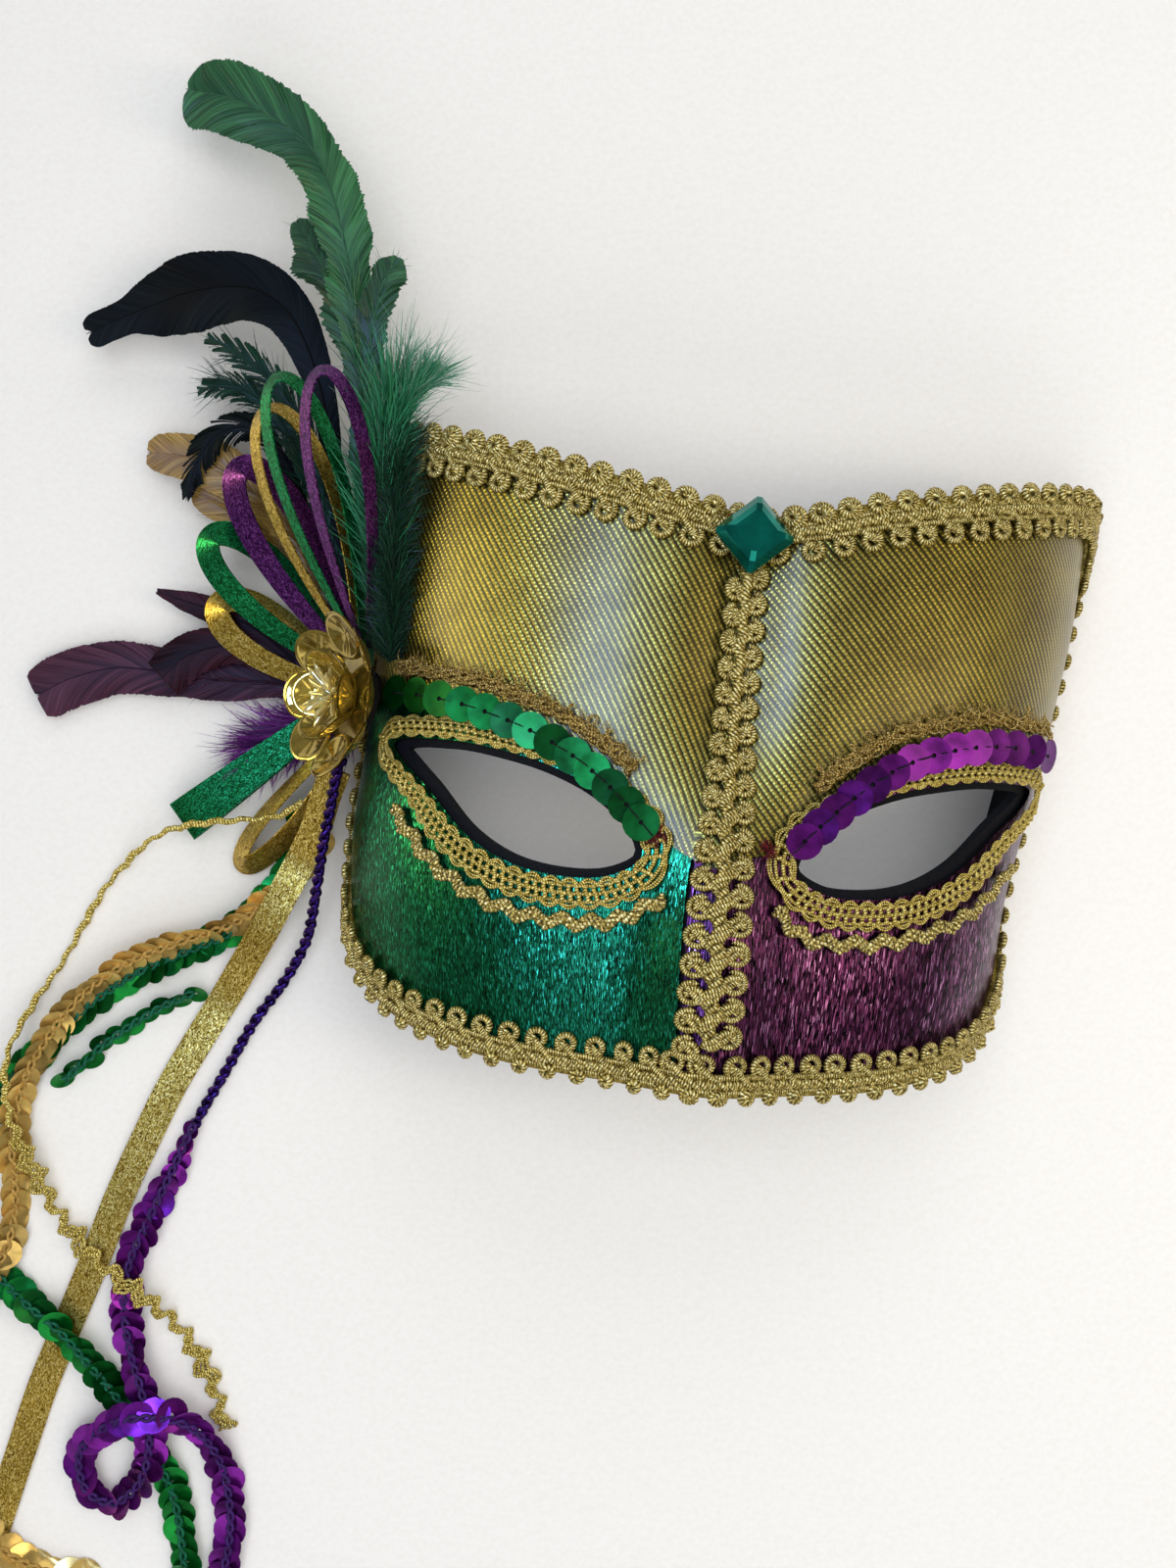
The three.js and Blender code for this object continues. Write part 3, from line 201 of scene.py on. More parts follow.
# The face: u runs across the wall from -1 to 1 and y up it
face = {"depth": 50, "browTuck": 3, "tuckReach": 60, "sideSink": 1, "rollPower": 2.6, "tuckIn": 4.5,
        "tuckFrom": 0.8, "tuckFades": 42, "tuckTop": 62, "valley": 4, "valleyWidth": 9, "nose": 8,
        "noseWidth": 12, "reliefTop": 24, "reliefBottom": -34, "probeU": 0.002, "probeY": 0.2}
sideEdges = [(-60, -68, 60), (-35, -75, 64.5), (-15, -77, 66), (5, -76, 69.5), (25, -75.5, 72.5),
             (45, -76.5, 75), (75, -78, 76)]  # y, left edge, right edge
topLine = {"centre": 51, "slope": 0.25, "dipRound": 6, "cornerDrop": 5, "cornerPower": 14}
bottomLine = {"centre": -53.5, "sag": 4, "cornerRise": 27.5, "cornerPower": 3}
wall = {"shell": 1.8, "cloth": 1.3, "clothInset": 0.5, "trim": 2.2}
spanScale = 95  # one unit across the face is about this far along the wall


def middle(y):
    return (between(sideEdges, 1, y) + between(sideEdges, 2, y)) / 2


def halfWidth(y):
    return (between(sideEdges, 2, y) - between(sideEdges, 1, y)) / 2


def ratioAt(u):
    return np.sign(u) * (1 - (1 - np.abs(u)) ** 2)


def acrossAt(x, y):
    ratio = np.clip((x - middle(y)) / halfWidth(y), -1, 1)
    return np.sign(ratio) * (1 - np.sqrt(1 - np.abs(ratio)))


def topEdge(u):
    centre = np.full(np.shape(u), float(topLine["centre"]))
    x = middle(centre) + ratioAt(u) * halfWidth(centre)
    rise = topLine["slope"] * (np.hypot(x, topLine["dipRound"]) - topLine["dipRound"])
    return centre + rise - topLine["cornerDrop"] * np.abs(u) ** topLine["cornerPower"]


def bottomEdge(u):
    corner = bottomLine["cornerRise"] * np.abs(u) ** bottomLine["cornerPower"]
    return bottomLine["centre"] + bottomLine["sag"] * u * u + corner


def facePoint(u, y):
    u, y = np.broadcast_arrays(np.asarray(u, float), np.asarray(y, float))
    ratio = ratioAt(u)
    lower = 1 - smoothStep(face["tuckFades"], face["tuckTop"], y)
    tuck = smoothStep(face["tuckFrom"], 1, np.abs(u)) * lower
    x = middle(y) + ratio * halfWidth(y) - np.sign(u) * face["tuckIn"] * tuck
    depth = face["depth"] - face["browTuck"] * (y / face["tuckReach"]) ** 2
    roll = np.sqrt(np.maximum(0, 1 - np.abs(ratio) ** face["rollPower"]))
    brow = smoothStep(face["reliefBottom"], face["reliefTop"], y)
    ridge = face["nose"] * (1 - brow) * np.exp(-(x / face["noseWidth"]) ** 2)
    dip = face["valley"] * brow * np.exp(-(x / face["valleyWidth"]) ** 2)
    return np.stack([x, y, (depth + face["sideSink"]) * roll - face["sideSink"] + ridge - dip], -1)


def faceFrame(u, y):
    du, dy = face["probeU"], face["probeY"]
    low, high = np.maximum(-1, u - du), np.minimum(1, u + du)
    across = (facePoint(high, y) - facePoint(low, y)) / (high - low)[..., None]
    up = (facePoint(u, y + dy) - facePoint(u, y - dy)) / (2 * dy)
    return across, up, unit(np.cross(across, up))


def raised(u, y, height):
    u, y, height = np.broadcast_arrays(np.asarray(u, float), np.asarray(y, float), np.asarray(height, float))
    return facePoint(u, y) + faceFrame(u, y)[2] * height[..., None]


# A trim's line on the face: places, and one millimetre steps along it and to its left
def trimLine(u, y, closed=False):
    if closed:
        du, dy = np.roll(u, -1) - np.roll(u, 1), np.roll(y, -1) - np.roll(y, 1)
    else:
        du, dy = np.gradient(u), np.gradient(y)
    across, up, out = faceFrame(u, y)
    along = across * du[:, None] + up * dy[:, None]
    length = np.linalg.norm(along, axis=1)
    side = np.cross(out, along / length[:, None])
    aa, ab, bb = (across * across).sum(1), (across * up).sum(1), (up * up).sum(1)
    sa, sb = (side * across).sum(1), (side * up).sum(1)
    det = aa * bb - ab * ab
    return {"u": u, "y": y, "alongU": du / length, "alongY": dy / length,
            "sideU": (sa * bb - sb * ab) / det, "sideY": (sb * aa - sa * ab) / det}


def onTrim(line, along, side, height):
    u = line["u"][:, None] + line["alongU"][:, None] * along + line["sideU"][:, None] * side
    y = line["y"][:, None] + line["alongY"][:, None] * along + line["sideY"][:, None] * side
    return raised(np.clip(u, -1, 1), y, np.broadcast_to(height, u.shape))


# One path along a trim, beside its line by a distance and above the face by a height
def trimPath(line, side, height, along=0.0):
    along, side, height = (np.reshape(value, (-1, 1)) for value in (along, side, height))
    return onTrim(line, along, side, height)[:, 0]


def planTrim(points, count):
    line = smoothLine(points, count)
    return trimLine(acrossAt(line[:, 0], line[:, 1]), line[:, 1])


def picked(line, places):
    return {key: value[places] for key, value in line.items()}


# Pieces of mesh: points in millimetres, four cornered faces, a texture place for each corner and a tint
def quads(grid):
    corners = [grid[..., :-1, :-1], grid[..., :-1, 1:], grid[..., 1:, 1:], grid[..., 1:, :-1]]
    return np.stack(corners, -1).reshape(-1, 4)


def gridPart(points, uv=None, closed=False, tint=1.0):
    rows, cols = points.shape[:2]
    index = np.arange(rows * cols).reshape(rows, cols)
    if closed:
        index = np.hstack([index, index[:, :1]])
    faces = quads(index)
    flat = np.zeros((rows * cols, 2)) if uv is None else uv.reshape(-1, 2)
    shade = np.broadcast_to(tint, (rows, cols, 3)).reshape(-1, 3)
    return {"verts": points.reshape(-1, 3), "faces": faces, "uv": flat[faces], "tint": shade}


def join(parts):
    starts = np.cumsum([0] + [len(p["verts"]) for p in parts[:-1]])
    made = {key: np.vstack([p[key] for p in parts]) for key in ("verts", "uv", "tint")}
    made["faces"] = np.vstack([p["faces"] + s for p, s in zip(parts, starts)])
    return made


tubeEnd = 0.15  # an open tube's ends close up to this share of its thickness
tubeSteep = 0.93  # a steeper path is framed from the side


def tubes(paths, radius, sides=6, closed=False, tint=1.0):
    paths = np.asarray(paths, float)
    if paths.ndim == 2:
        paths = paths[None]
    m, n = paths.shape[:2]
    if closed:
        tangent = unit(np.roll(paths, -1, 1) - np.roll(paths, 1, 1))
    else:
        tangent = unit(np.gradient(paths, axis=1))
    upright = np.where(np.abs(tangent[..., 2:]) > tubeSteep, [1.0, 0.0, 0.0], [0.0, 0.0, 1.0])
    side = unit(np.cross(tangent, upright))
    out = np.cross(side, tangent)
    thick = np.array(np.broadcast_to(radius, (m, n)), float)
    if not closed:
        thick[:, [0, -1]] *= tubeEnd
    angle = turn * np.arange(sides) / sides
    ring = np.cos(angle)[:, None] * side[:, :, None] + np.sin(angle)[:, None] * out[:, :, None]
    verts = paths[:, :, None] + ring * thick[:, :, None, None]
    index = np.arange(m * n * sides).reshape(m, n, sides)
    index = np.concatenate([index, index[:, :, :1]], 2)
    step = np.linalg.norm(np.diff(paths, axis=1), axis=2)
    far = np.concatenate([np.zeros((m, 1)), np.cumsum(step, 1)], 1)
    if closed:
        index = np.concatenate([index, index[:, :1]], 1)
        far = np.concatenate([far, far[:, -1:] + step[:, -1:]], 1)
    about = np.arange(sides + 1) / sides
    place = np.broadcast_arrays(about[None, None, :], far[:, :, None])
    shade = np.ones((m, n, sides, 3)) * np.asarray(tint, float)
    return {"verts": verts.reshape(-1, 3), "faces": quads(index),
            "uv": np.stack([quads(p) for p in place], -1), "tint": shade.reshape(-1, 3)}


# Flat strips, such as feather down: a width direction at each point, narrowing to the tip
def strips(paths, sideways, width, tint):
    m, n = paths.shape[:2]
    half = np.broadcast_to(width, (m, n))[..., None] / 2
    verts = np.stack([paths - sideways * half, paths + sideways * half], 2)
    faces = quads(np.arange(m * n * 2).reshape(m, n, 2))
    place = np.broadcast_arrays(np.arange(2.0), np.linspace(0, 1, n)[None, :, None], np.zeros((m, n, 2)))
    uv = np.stack(place[:2], -1).reshape(-1, 2)
    shade = np.broadcast_to(np.asarray(tint, float).reshape(m, -1, 1, 3), (m, n, 2, 3))
    return {"verts": verts.reshape(-1, 3), "faces": faces, "uv": uv[faces], "tint": shade.reshape(-1, 3)}


def build(name, part, material, nodes=()):
    verts = inPart(part["verts"])
    verts[:, 2] = np.maximum(verts[:, 2], 0)
    faces = part["faces"].astype(np.int32)
    tint = np.hstack([part["tint"], np.ones((len(verts), 1))])
    mesh = bpy.data.meshes.new(name)
    mesh.vertices.add(len(verts))
    mesh.vertices.foreach_set("co", verts.astype(np.float32).ravel())
    mesh.loops.add(faces.size)
    mesh.loops.foreach_set("vertex_index", faces.ravel())
    mesh.polygons.add(len(faces))
    mesh.polygons.foreach_set("loop_start", np.arange(0, faces.size, 4, dtype=np.int32))
    mesh.polygons.foreach_set("use_smooth", np.full(len(faces), True))
    mesh.update(calc_edges=True)
    layer = mesh.uv_layers.new(name="cloth")
    layer.data.foreach_set("uv", part["uv"].astype(np.float32).ravel())
    shade = mesh.attributes.new("tint", "FLOAT_COLOR", "POINT")
    shade.data.foreach_set("color", tint.astype(np.float32).ravel())
    mesh.materials.append(material)
    made = bpy.data.objects.new(name, mesh)
    bpy.context.collection.objects.link(made)
    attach(made, "root")
    if nodes:
        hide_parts(*nodes)
    return made


# Gold lame: bright film threads in diagonal ribs, each rib a row of short floats, darker in the grooves
# between ribs as painted shade
lameRib = {"pitch": 1.16, "float": 0.8, "grain": 2.4, "wander": 2.4, "patch": 0.1, "patchShare": 0.7,
           "bump": 0.4, "bumpDepth": 0.0003}


def makeLame():
    made, tree, shader = newMaterial("gold lame cloth", {"Metallic": 0.9, "Roughness": 0.33,
                                                         "Coat Weight": 0.4, "Coat Roughness": 0.3})
    place = onCloth(tree)
    apart = addNode(tree, "SeparateXYZ", {0: place}).outputs
    wander = maths(tree, "MULTIPLY_ADD", noise(tree, lameRib["grain"], 2.0, place), lameRib["wander"])
    waves = []
    for axis, pitch in ((0, lameRib["pitch"]), (1, lameRib["float"])):
        phase = maths(tree, "MULTIPLY_ADD", apart[axis], turn / pitch, wander)
        waves.append(maths(tree, "MULTIPLY_ADD", maths(tree, "SINE", phase), 0.5, 0.5))
    floats = maths(tree, "MULTIPLY_ADD", waves[1], 0.5, 0.5)
    height = maths(tree, "MULTIPLY", waves[0], floats)
    # rib colour: painted shade in the grooves between ribs, the film's own gold on the rib tops
    base = ramp(tree, height, [(0.0, "#443c14"), (0.35, "#827228"), (0.8, "#baa746")])
    patch = ramp(tree, noise(tree, lameRib["patch"], 3.0, place), [(0.3, "#bdb49c"), (0.65, "#ffffff")])
    feed(tree, shader, {"Base Color": multiplied(tree, base, patch, lameRib["patchShare"])})
    bumped(tree, shader, height, lameRib["bump"], lameRib["bumpDepth"])
    return made


# Glittering metal film cloth: slim flakes that each face a little differently, with duller gaps between
flakeBlend = 0.12
flakeMetal = 0.85


def makeGlitter(name, stops, cell, tilt, roughness, lean, ground, share):
    made, tree, shader = newMaterial(name, {"Metallic": flakeMetal, "Roughness": roughness})
    turned = addNode(tree, "Mapping", {"Rotation": (0, 0, math.radians(lean)), "Vector": onCloth(tree),
                                       "Scale": (1 / cell[0], 1 / cell[1], 1)}).outputs["Vector"]
    flakes = addNode(tree, "TexVoronoi", {"Scale": 1.0, "Randomness": 1.0, "Vector": turned}).outputs["Color"]
    apart = addNode(tree, "SeparateColor", {"Color": flakes}).outputs
    gaps = ramp(tree, apart[1], [(share, ground), (share + flakeBlend, "#ffffff")])
    centred = maths(tree, "SUBTRACT", flakes, (0.5, 0.5, 0.5), kind="VectorMath")
    tilted = addNode(tree, "VectorMath", {"operation": "SCALE", 0: centred, "Scale": tilt}).outputs[0]
    normal = addNode(tree, "NewGeometry", {}).outputs["Normal"]
    summed = maths(tree, "ADD", normal, tilted, kind="VectorMath")
    feed(tree, shader, {"Base Color": multiplied(tree, ramp(tree, apart[0], stops), gaps),
                        "Normal": maths(tree, "NORMALIZE", summed, kind="VectorMath")})
    return made


# Wrapped metal thread: fine turns round each cord, painted shade in the grooves between turns, duller random
# patches, and small painted glints
threadWrap = {"pitch": 0.5, "slant": 0.5, "depth": 0.22, "patch": 1500.0, "metal": 0.5, "bump": 0.8,
              "bumpDepth": 0.0003}


def makeThread(name, dull, bright, paintedGlint, roughness=0.42):
    made, tree, shader = newMaterial(name, {"Metallic": threadWrap["metal"], "Roughness": roughness})
    apart = addNode(tree, "SeparateXYZ", {0: onCloth(tree)}).outputs
    leaning = maths(tree, "MULTIPLY_ADD", apart[0], threadWrap["slant"], apart[1])
    wave = maths(tree, "SINE", maths(tree, "MULTIPLY", leaning, turn / threadWrap["pitch"]))
    patch = noise(tree, threadWrap["patch"], 2.0, inSpace(tree))
    level = maths(tree, "MULTIPLY_ADD", wave, threadWrap["depth"], patch)
    # the darkest colour paints shade into the grooves between turns and on random low patches; the brightest
    # colour paints small glints
    feed(tree, shader, {"Base Color": ramp(tree, level, [(0.22, dull), (0.55, bright), (0.78, paintedGlint)])})
    bumped(tree, shader, level, threadWrap["bump"], threadWrap["bumpDepth"])
    return made


# Dyed metal film, tinted from piece to piece: sequins and petals. The tint is random tone; on the sequin
# strings its top end is painted highlight.
filmWear = {"patch": 350.0, "roughens": 0.14, "smoother": 0.06, "coatRoughness": 0.08}


def makeFilm(name, code, roughness, metallic, coat):
    made, tree, shader = newMaterial(name, {"Metallic": metallic, "Roughness": roughness, "Coat Weight": coat,
                                            "Coat Roughness": filmWear["coatRoughness"]})
    soft = noise(tree, filmWear["patch"], 2.0, inSpace(tree))
    wear = ramp(tree, soft, [(0.3, "#c8c8c8"), (0.6, "#ffffff")])
    dyedAndPaintedHighlight = multiplied(tree, ownTint(tree), colour(code))
    rough = maths(tree, "MULTIPLY_ADD", soft, filmWear["roughens"], roughness - filmWear["smoother"])
    feed(tree, shader, {"Base Color": multiplied(tree, dyedAndPaintedHighlight, wear), "Roughness": rough})
    return made


# Feather: each barb carries its own shade, with a soft sheen
featherSheen = {"weight": 0.2, "roughness": 0.4, "stretch": (2.6, 0.9, 1.0)}


def makeFeather(name, sheen, roughness, gloss):
    made, tree, shader = newMaterial(name, {"Roughness": roughness, "Sheen Weight": featherSheen["weight"],
                                            "Sheen Roughness": featherSheen["roughness"],
                                            "Sheen Tint": colour(sheen), "Specular IOR Level": gloss})
    streaks = {"Scale": featherSheen["stretch"], "Vector": onCloth(tree)}
    drawn = addNode(tree, "Mapping", streaks).outputs["Vector"]
    patch = ramp(tree, noise(tree, 1.0, 3.0, drawn), [(0.3, "#a0a0a0"), (0.65, "#ffffff")])
    feed(tree, shader, {"Base Color": multiplied(tree, ownTint(tree), patch)})
    return made


# Plain spun yarn or pressed felt: broken shade and a fine nap
yarnNap = {"bump": 0.4, "bumpDepth": 0.0002, "gloss": 0.2}


def makeYarn(name, dark, light, roughness=0.9, grain=1400.0):
    made, tree, shader = newMaterial(name, {"Roughness": roughness, "Specular IOR Level": yarnNap["gloss"]})
    soft = noise(tree, grain, 4.0, inSpace(tree))
    feed(tree, shader, {"Base Color": ramp(tree, soft, [(0.3, dark), (0.7, light)])})
    bumped(tree, shader, soft, yarnNap["bump"], yarnNap["bumpDepth"])
    return made


lame = makeLame()
greenLurex = makeGlitter(
    "green lurex cloth", [(0.0, "#05371f"), (0.5, "#085630"), (0.85, "#0e7a46"), (0.98, "#36bc88")],
    (0.13, 0.8), tilt=0.2, roughness=0.3, lean=-30, ground="#4a6054", share=0.14)
purpleLurex = makeGlitter(
    "purple lurex cloth", [(0.0, "#1c0817"), (0.45, "#4a1a40"), (0.85, "#7a3a69"), (0.98, "#d494c8")],
    (0.15, 1.5), tilt=0.26, roughness=0.3, lean=4, ground="#140c12", share=0.34)
ribbonCloth = {}
for ribbonShade, ribbonTilt, ribbonGround, ribbonStops in (
        ("green", 0.14, "#2c7048", ("#06542a", "#0a7438", "#2aa864")),
        ("purple", 0.14, "#4c1c56", ("#3c1046", "#571a62", "#8e4c98")),
        ("gold", 0.16, "#94803c", ("#93761f", "#b89634", "#e6cc74"))):
    ribbonCloth[ribbonShade] = makeGlitter(
        ribbonShade + " ribbon weave", list(zip((0.0, 0.5, 0.97), ribbonStops)), (0.17, 0.36),
        tilt=ribbonTilt, roughness=0.36, lean=35, ground=ribbonGround, share=0.14)
# each thread: painted groove shade, its own colour, and the painted glint colour
goldThread = makeThread("gold gimp thread", "#382e0b", "#b2983c", "#f6e8a0")
yellowThread = makeThread("yellow gold braid thread", "#66530f", "#cdb040", "#f8e894")
dullThread = makeThread("dull gold braid thread", "#60490f", "#b8943a", "#f0d88c")
coreThread = makeThread("brown gold core thread", "#48370f", "#8e7028", "#d0b05a", roughness=0.5)
films = {"green": makeFilm("green sequin film", "#0a762a", roughness=0.3, metallic=0.8, coat=0.0),
         "purple": makeFilm("purple sequin film", "#761c8a", roughness=0.27, metallic=0.82, coat=0.0),
         "gold": makeFilm("gold sequin film", "#e0bc68", roughness=0.22, metallic=0.6, coat=0.0)}
amberFilm = makeFilm("amber petal film", "#ceb14a", roughness=0.12, metallic=0.75, coat=0.5)
bugleFilm = makeFilm("pale gold bugle glass", "#e6d38a", roughness=0.1, metallic=0.6, coat=0.5)
# dark thread for the stitches, also used for the tape that paints the shadow under the row sequins
darkThreadAndShadow = makeYarn("dark sewing thread and painted shadow", "#08100c", "#1d1a18")
redThread = makeYarn("dark red sewing thread", "#3a0d0f", "#6e1b1c")
blackFelt = makeYarn("black backing felt", "#050505", "#171615", grain=2200.0)
print("materials made")

# The two free cords. Places in the layout, from the rosette to the loose end.
ribbonStreamer = {"width": 6.6, "skin": 0.3, "steps": 220, "flutter": 0.12, "flutterStep": 5.3, "route": [
    (-80.4, -2, 16.6), (-82.4, -8, 13.6), (-84.4, -15, 10.4), (-87.4, -22.5, 7.6), (-90.6, -30, 6.8),
    (-94, -38, 5.6), (-98, -46, 3), (-102.4, -55, 1), (-106.4, -63, 0.7), (-112.5, -76, 0.7),
    (-117, -88, 0.7), (-121.5, -101, 0.7), (-126, -117, 0.7), (-130, -130, 0.7), (-134.5, -145, 0.7),
    (-138, -160, 0.7), (-140.5, -171, 0.7), (-142.5, -180, 0.7)]}
ricracStreamer = {"width": 4.0, "steps": 520, "pitch": 5.6, "sway": 0.95, "strand": 0.42, "spread": 2.3,
                  "strands": (-0.9, -0.3, 0.3, 0.9), "rise": 0.3, "thin": 0.3, "grow": 0.95,
                  "growFrom": 96, "growTo": 128, "route": [
    (-87.6, -9.4, 12.6), (-91, -12.6, 11.6), (-97, -14.4, 9.6), (-104, -15.6, 9), (-111, -17, 8.4),
    (-117, -19, 7), (-122.5, -22.6, 4), (-127.6, -28, 1.4), (-131.5, -33.6, 0.9), (-135, -41, 0.9),
    (-139.4, -51, 0.9), (-144.5, -61, 3), (-147.6, -72, 6.6), (-146, -84, 6.6), (-140.5, -97, 3.4),
    (-134.5, -106.5, 1.6), (-127, -114, 2.4), (-119.5, -118.6, 4), (-112, -123.5, 3.6), (-106.5, -128.5, 0.9),
    (-100.5, -135.5, 0.9), (-96, -143, 0.9), (-93.5, -151, 0.9)]}
ribbonCuts = np.linspace(-1, 1, 9)  # places across a ribbon


def flatFrame(line):
    along = unit(np.gradient(line, axis=0))
    level = unit(np.cross([0.0, 0.0, 1.0], along))
    return along, level, np.cross(along, level)


# A ribbon along a line: upper and lower face and two thin edges, each with its own corners so it shades flat
def ribbonPart(line, wide, thin, half, skin, sway=0.0):
    half = np.broadcast_to(half, len(line))[:, None] * ribbonCuts
    sheet = (line[:, None] + wide[:, None] * half[..., None]
             + thin[:, None] * np.broadcast_to(sway, half.shape)[..., None])
    uv = np.stack(np.broadcast_arrays(half, distances(line)[:, None]), -1)
    upper, lower = sheet + thin[:, None] * skin, sheet - thin[:, None] * skin
    parts = [gridPart(upper, uv), gridPart(lower[:, ::-1], uv[:, ::-1])]
    for k in (0, -1):
        parts.append(gridPart(np.stack([upper[:, k], lower[:, k]], 1), np.stack([uv[:, k]] * 2, 1)))
    return join(parts)


def makeRibbonStreamer():
    spec = ribbonStreamer
    line = smoothLine(spec["route"], spec["steps"])
    level, out = flatFrame(line)[1:]
    far = np.linspace(0, lineLength(line), len(line))
    # the edges ride up and down
    flutter = spec["flutter"] * np.sin(far / spec["flutterStep"])[:, None] * ribbonCuts
    part = ribbonPart(line, level, out, spec["width"] / 2, spec["skin"], flutter)
    made = build("gold_ribbon_piece", part, ribbonCloth["gold"], ["gold_ribbon_streamer"])


def makeRicracStreamer():
    spec = ricracStreamer
    line = smoothLine(spec["route"], spec["steps"])
    level, out = flatFrame(line)[1:]
    far = np.linspace(0, lineLength(line), len(line))
    # pulled thin near the rosette, flat and wide further on
    grown = spec["thin"] + spec["grow"] * smoothStep(spec["growFrom"], spec["growTo"], far)
    phase = turn * far / spec["pitch"] + 0.5 * np.sin(far / 9.1) + 0.3 * np.sin(far / 4.3)
    teeth = np.arcsin(0.96 * np.sin(phase)) / 1.3 + 0.25 * np.sin(phase * 2.7)
    lumps = 1 + 0.5 * np.sin(far / 3.1 + np.sin(far / 7.7))
    strands = []
    for place in spec["strands"]:
        reach = spec["sway"] * grown * teeth + place * spec["strand"] * spec["spread"] * grown * lumps
        rise = spec["rise"] * np.cos(phase * 2 + 6 * place)
        strands.append(line + level * reach[:, None] + out * rise[:, None])
    part = tubes(strands, spec["strand"], 5)
    made = build("ricrac_piece", part, yellowThread, ["ricrac_streamer"])


makeRibbonStreamer()
makeRicracStreamer()
print("cords laid")

# Eye openings, round from the outer corner over the upper lid, and the line where the cloths meet
eyeRows = [(-66, 4.5), (-55, 6), (-43, 4.8), (-33, 2.5), (-24, -1.5), (-16.5, -8), (-15, -13), (-21, -17),
           (-30, -18), (-40, -16.5), (-49, -12), (-57, -4.5)]
rightEye = {"mirrorAbout": -0.75, "lift": 0.055, "liftFrom": 12}
browLine = [(-95, 12), (-62, 12.5), (-48, 10), (-36, 6.5), (-24, 1), (-13, -8), (0, -14), (12, -9), (23, 2),
            (34, 9), (46, 12), (95, 13)]
browCurve = smoothLine(browLine, 400)
layers = {"eyeSteps": 260, "shellEyeInset": 1.6, "shellRings": 12, "clothRings": 40, "edgeSteps": 110,
          "endSteps": 60, "clothGap": 0.25, "browStart": 8.0, "browRounds": 6}


def eyeOutline(side, count, inset=0.0):
    rows = np.array(eyeRows, float)
    if side > 0:
        rows[:, 0] = 2 * rightEye["mirrorAbout"] - rows[:, 0]
        rows[:, 1] += rightEye["lift"] * (rows[:, 0] - rightEye["liftFrom"])
    line = smoothLine(rows, count, closed=True)
    along = unit(np.roll(line, -1, 0) - np.roll(line, 1, 0))
    inward = np.stack([along[:, 1], -along[:, 0]], 1) * -np.sign(rows[:, 0].mean())
    return line + inward * inset


# Distance across the cloth, measured along the wall at one height from the middle of the face
arcHeight = 20.0
arcPlaces = np.linspace(-1, 1, 401)
arcLengths = distances(facePoint(arcPlaces, arcHeight))
arcLengths -= np.interp(0, arcPlaces, arcLengths)


def clothPlace(u, y):
    return np.stack([np.interp(u, arcPlaces, arcLengths), y], -1)


# A layer round an eye: rings from the eye's outline to the layer's own outline, matched by direction
def roundEye(inner, outer, rings):
    start = np.stack([acrossAt(inner[:, 0], inner[:, 1]) * spanScale, inner[:, 1]], 1)
    centre = start.mean(0)
    angle = np.arctan2(*(start - centre).T[::-1])
    order = np.argsort(angle)
    edge = np.arctan2(*(outer - centre).T[::-1])
    near = np.interp(edge, angle[order], np.hypot(*(start - centre).T)[order], period=turn)
    begin = centre + near[:, None] * np.stack([np.cos(edge), np.sin(edge)], 1)
    part = np.linspace(0, 1, rings)[:, None, None]
    both = begin * (1 - part) + outer * part
    return both[..., 0] / spanScale, both[..., 1]


def outlineOf(side, upper, inset, gap):
    limit = 1 - inset / spanScale
    us = np.linspace(gap / spanScale, limit, layers["edgeSteps"]) * side
    low = np.stack([us * spanScale, bottomEdge(us) + inset], 1)
    high = np.stack([us * spanScale, upper(us)], 1)[::-1]
    ends = []
    outside, inside = limit * side * spanScale, gap * side
    for x, start, stop in ((outside, low[-1, 1], high[0, 1]), (inside, high[-1, 1], low[0, 1])):
        ys = np.linspace(start, stop, layers["endSteps"] + 2)[1:-1]
        ends.append(np.stack([np.full(len(ys), x), ys], 1))
    return np.vstack([low, ends[0], high, ends[1]])


def browAt(u):
    y = np.full(np.shape(u), layers["browStart"])
    for _ in range(layers["browRounds"]):
        x = middle(y) + ratioAt(u) * halfWidth(y)
        y = np.interp(x, browCurve[:, 0], browCurve[:, 1])
    return y


# Slight waves in the cloth where it is stretched over the backing
def slack(u, y, amount, seed):
    s, t = np.moveaxis(clothPlace(u, y), -1, 0)
    broad = np.sin(s / 5.1 + 0.4 * np.sin(t / 17 + seed))
    fine = np.sin(s / 2.9 + t / 21 + 2 * seed)
    return amount * (broad * 0.6 + fine * 0.4)


def makeShell():
    parts = []
    for side in (-1, 1):
        outline = outlineOf(side, topEdge, 0.0, 0.0)
        eye = eyeOutline(side, layers["eyeSteps"], layers["shellEyeInset"])
        u, y = roundEye(eye, outline, layers["shellRings"])
        front, back = raised(u, y, 0.0), raised(u, y, -wall["shell"])
        place = clothPlace(u, y)
        parts.append(gridPart(front, place, closed=True))
        parts.append(gridPart(back, place, closed=True))
        for k in (0, -1):
            parts.append(gridPart(np.stack([front[k], back[k]]), np.stack([place[k]] * 2), closed=True))
    build("backing", join(parts), blackFelt, ["mask_shell"])


goldCloth = {"across": 240, "up": 64, "ribsLeft": 57, "ribsRight": 46, "slack": 0.1, "seed": 0.7}
lurexSlack = 0.09


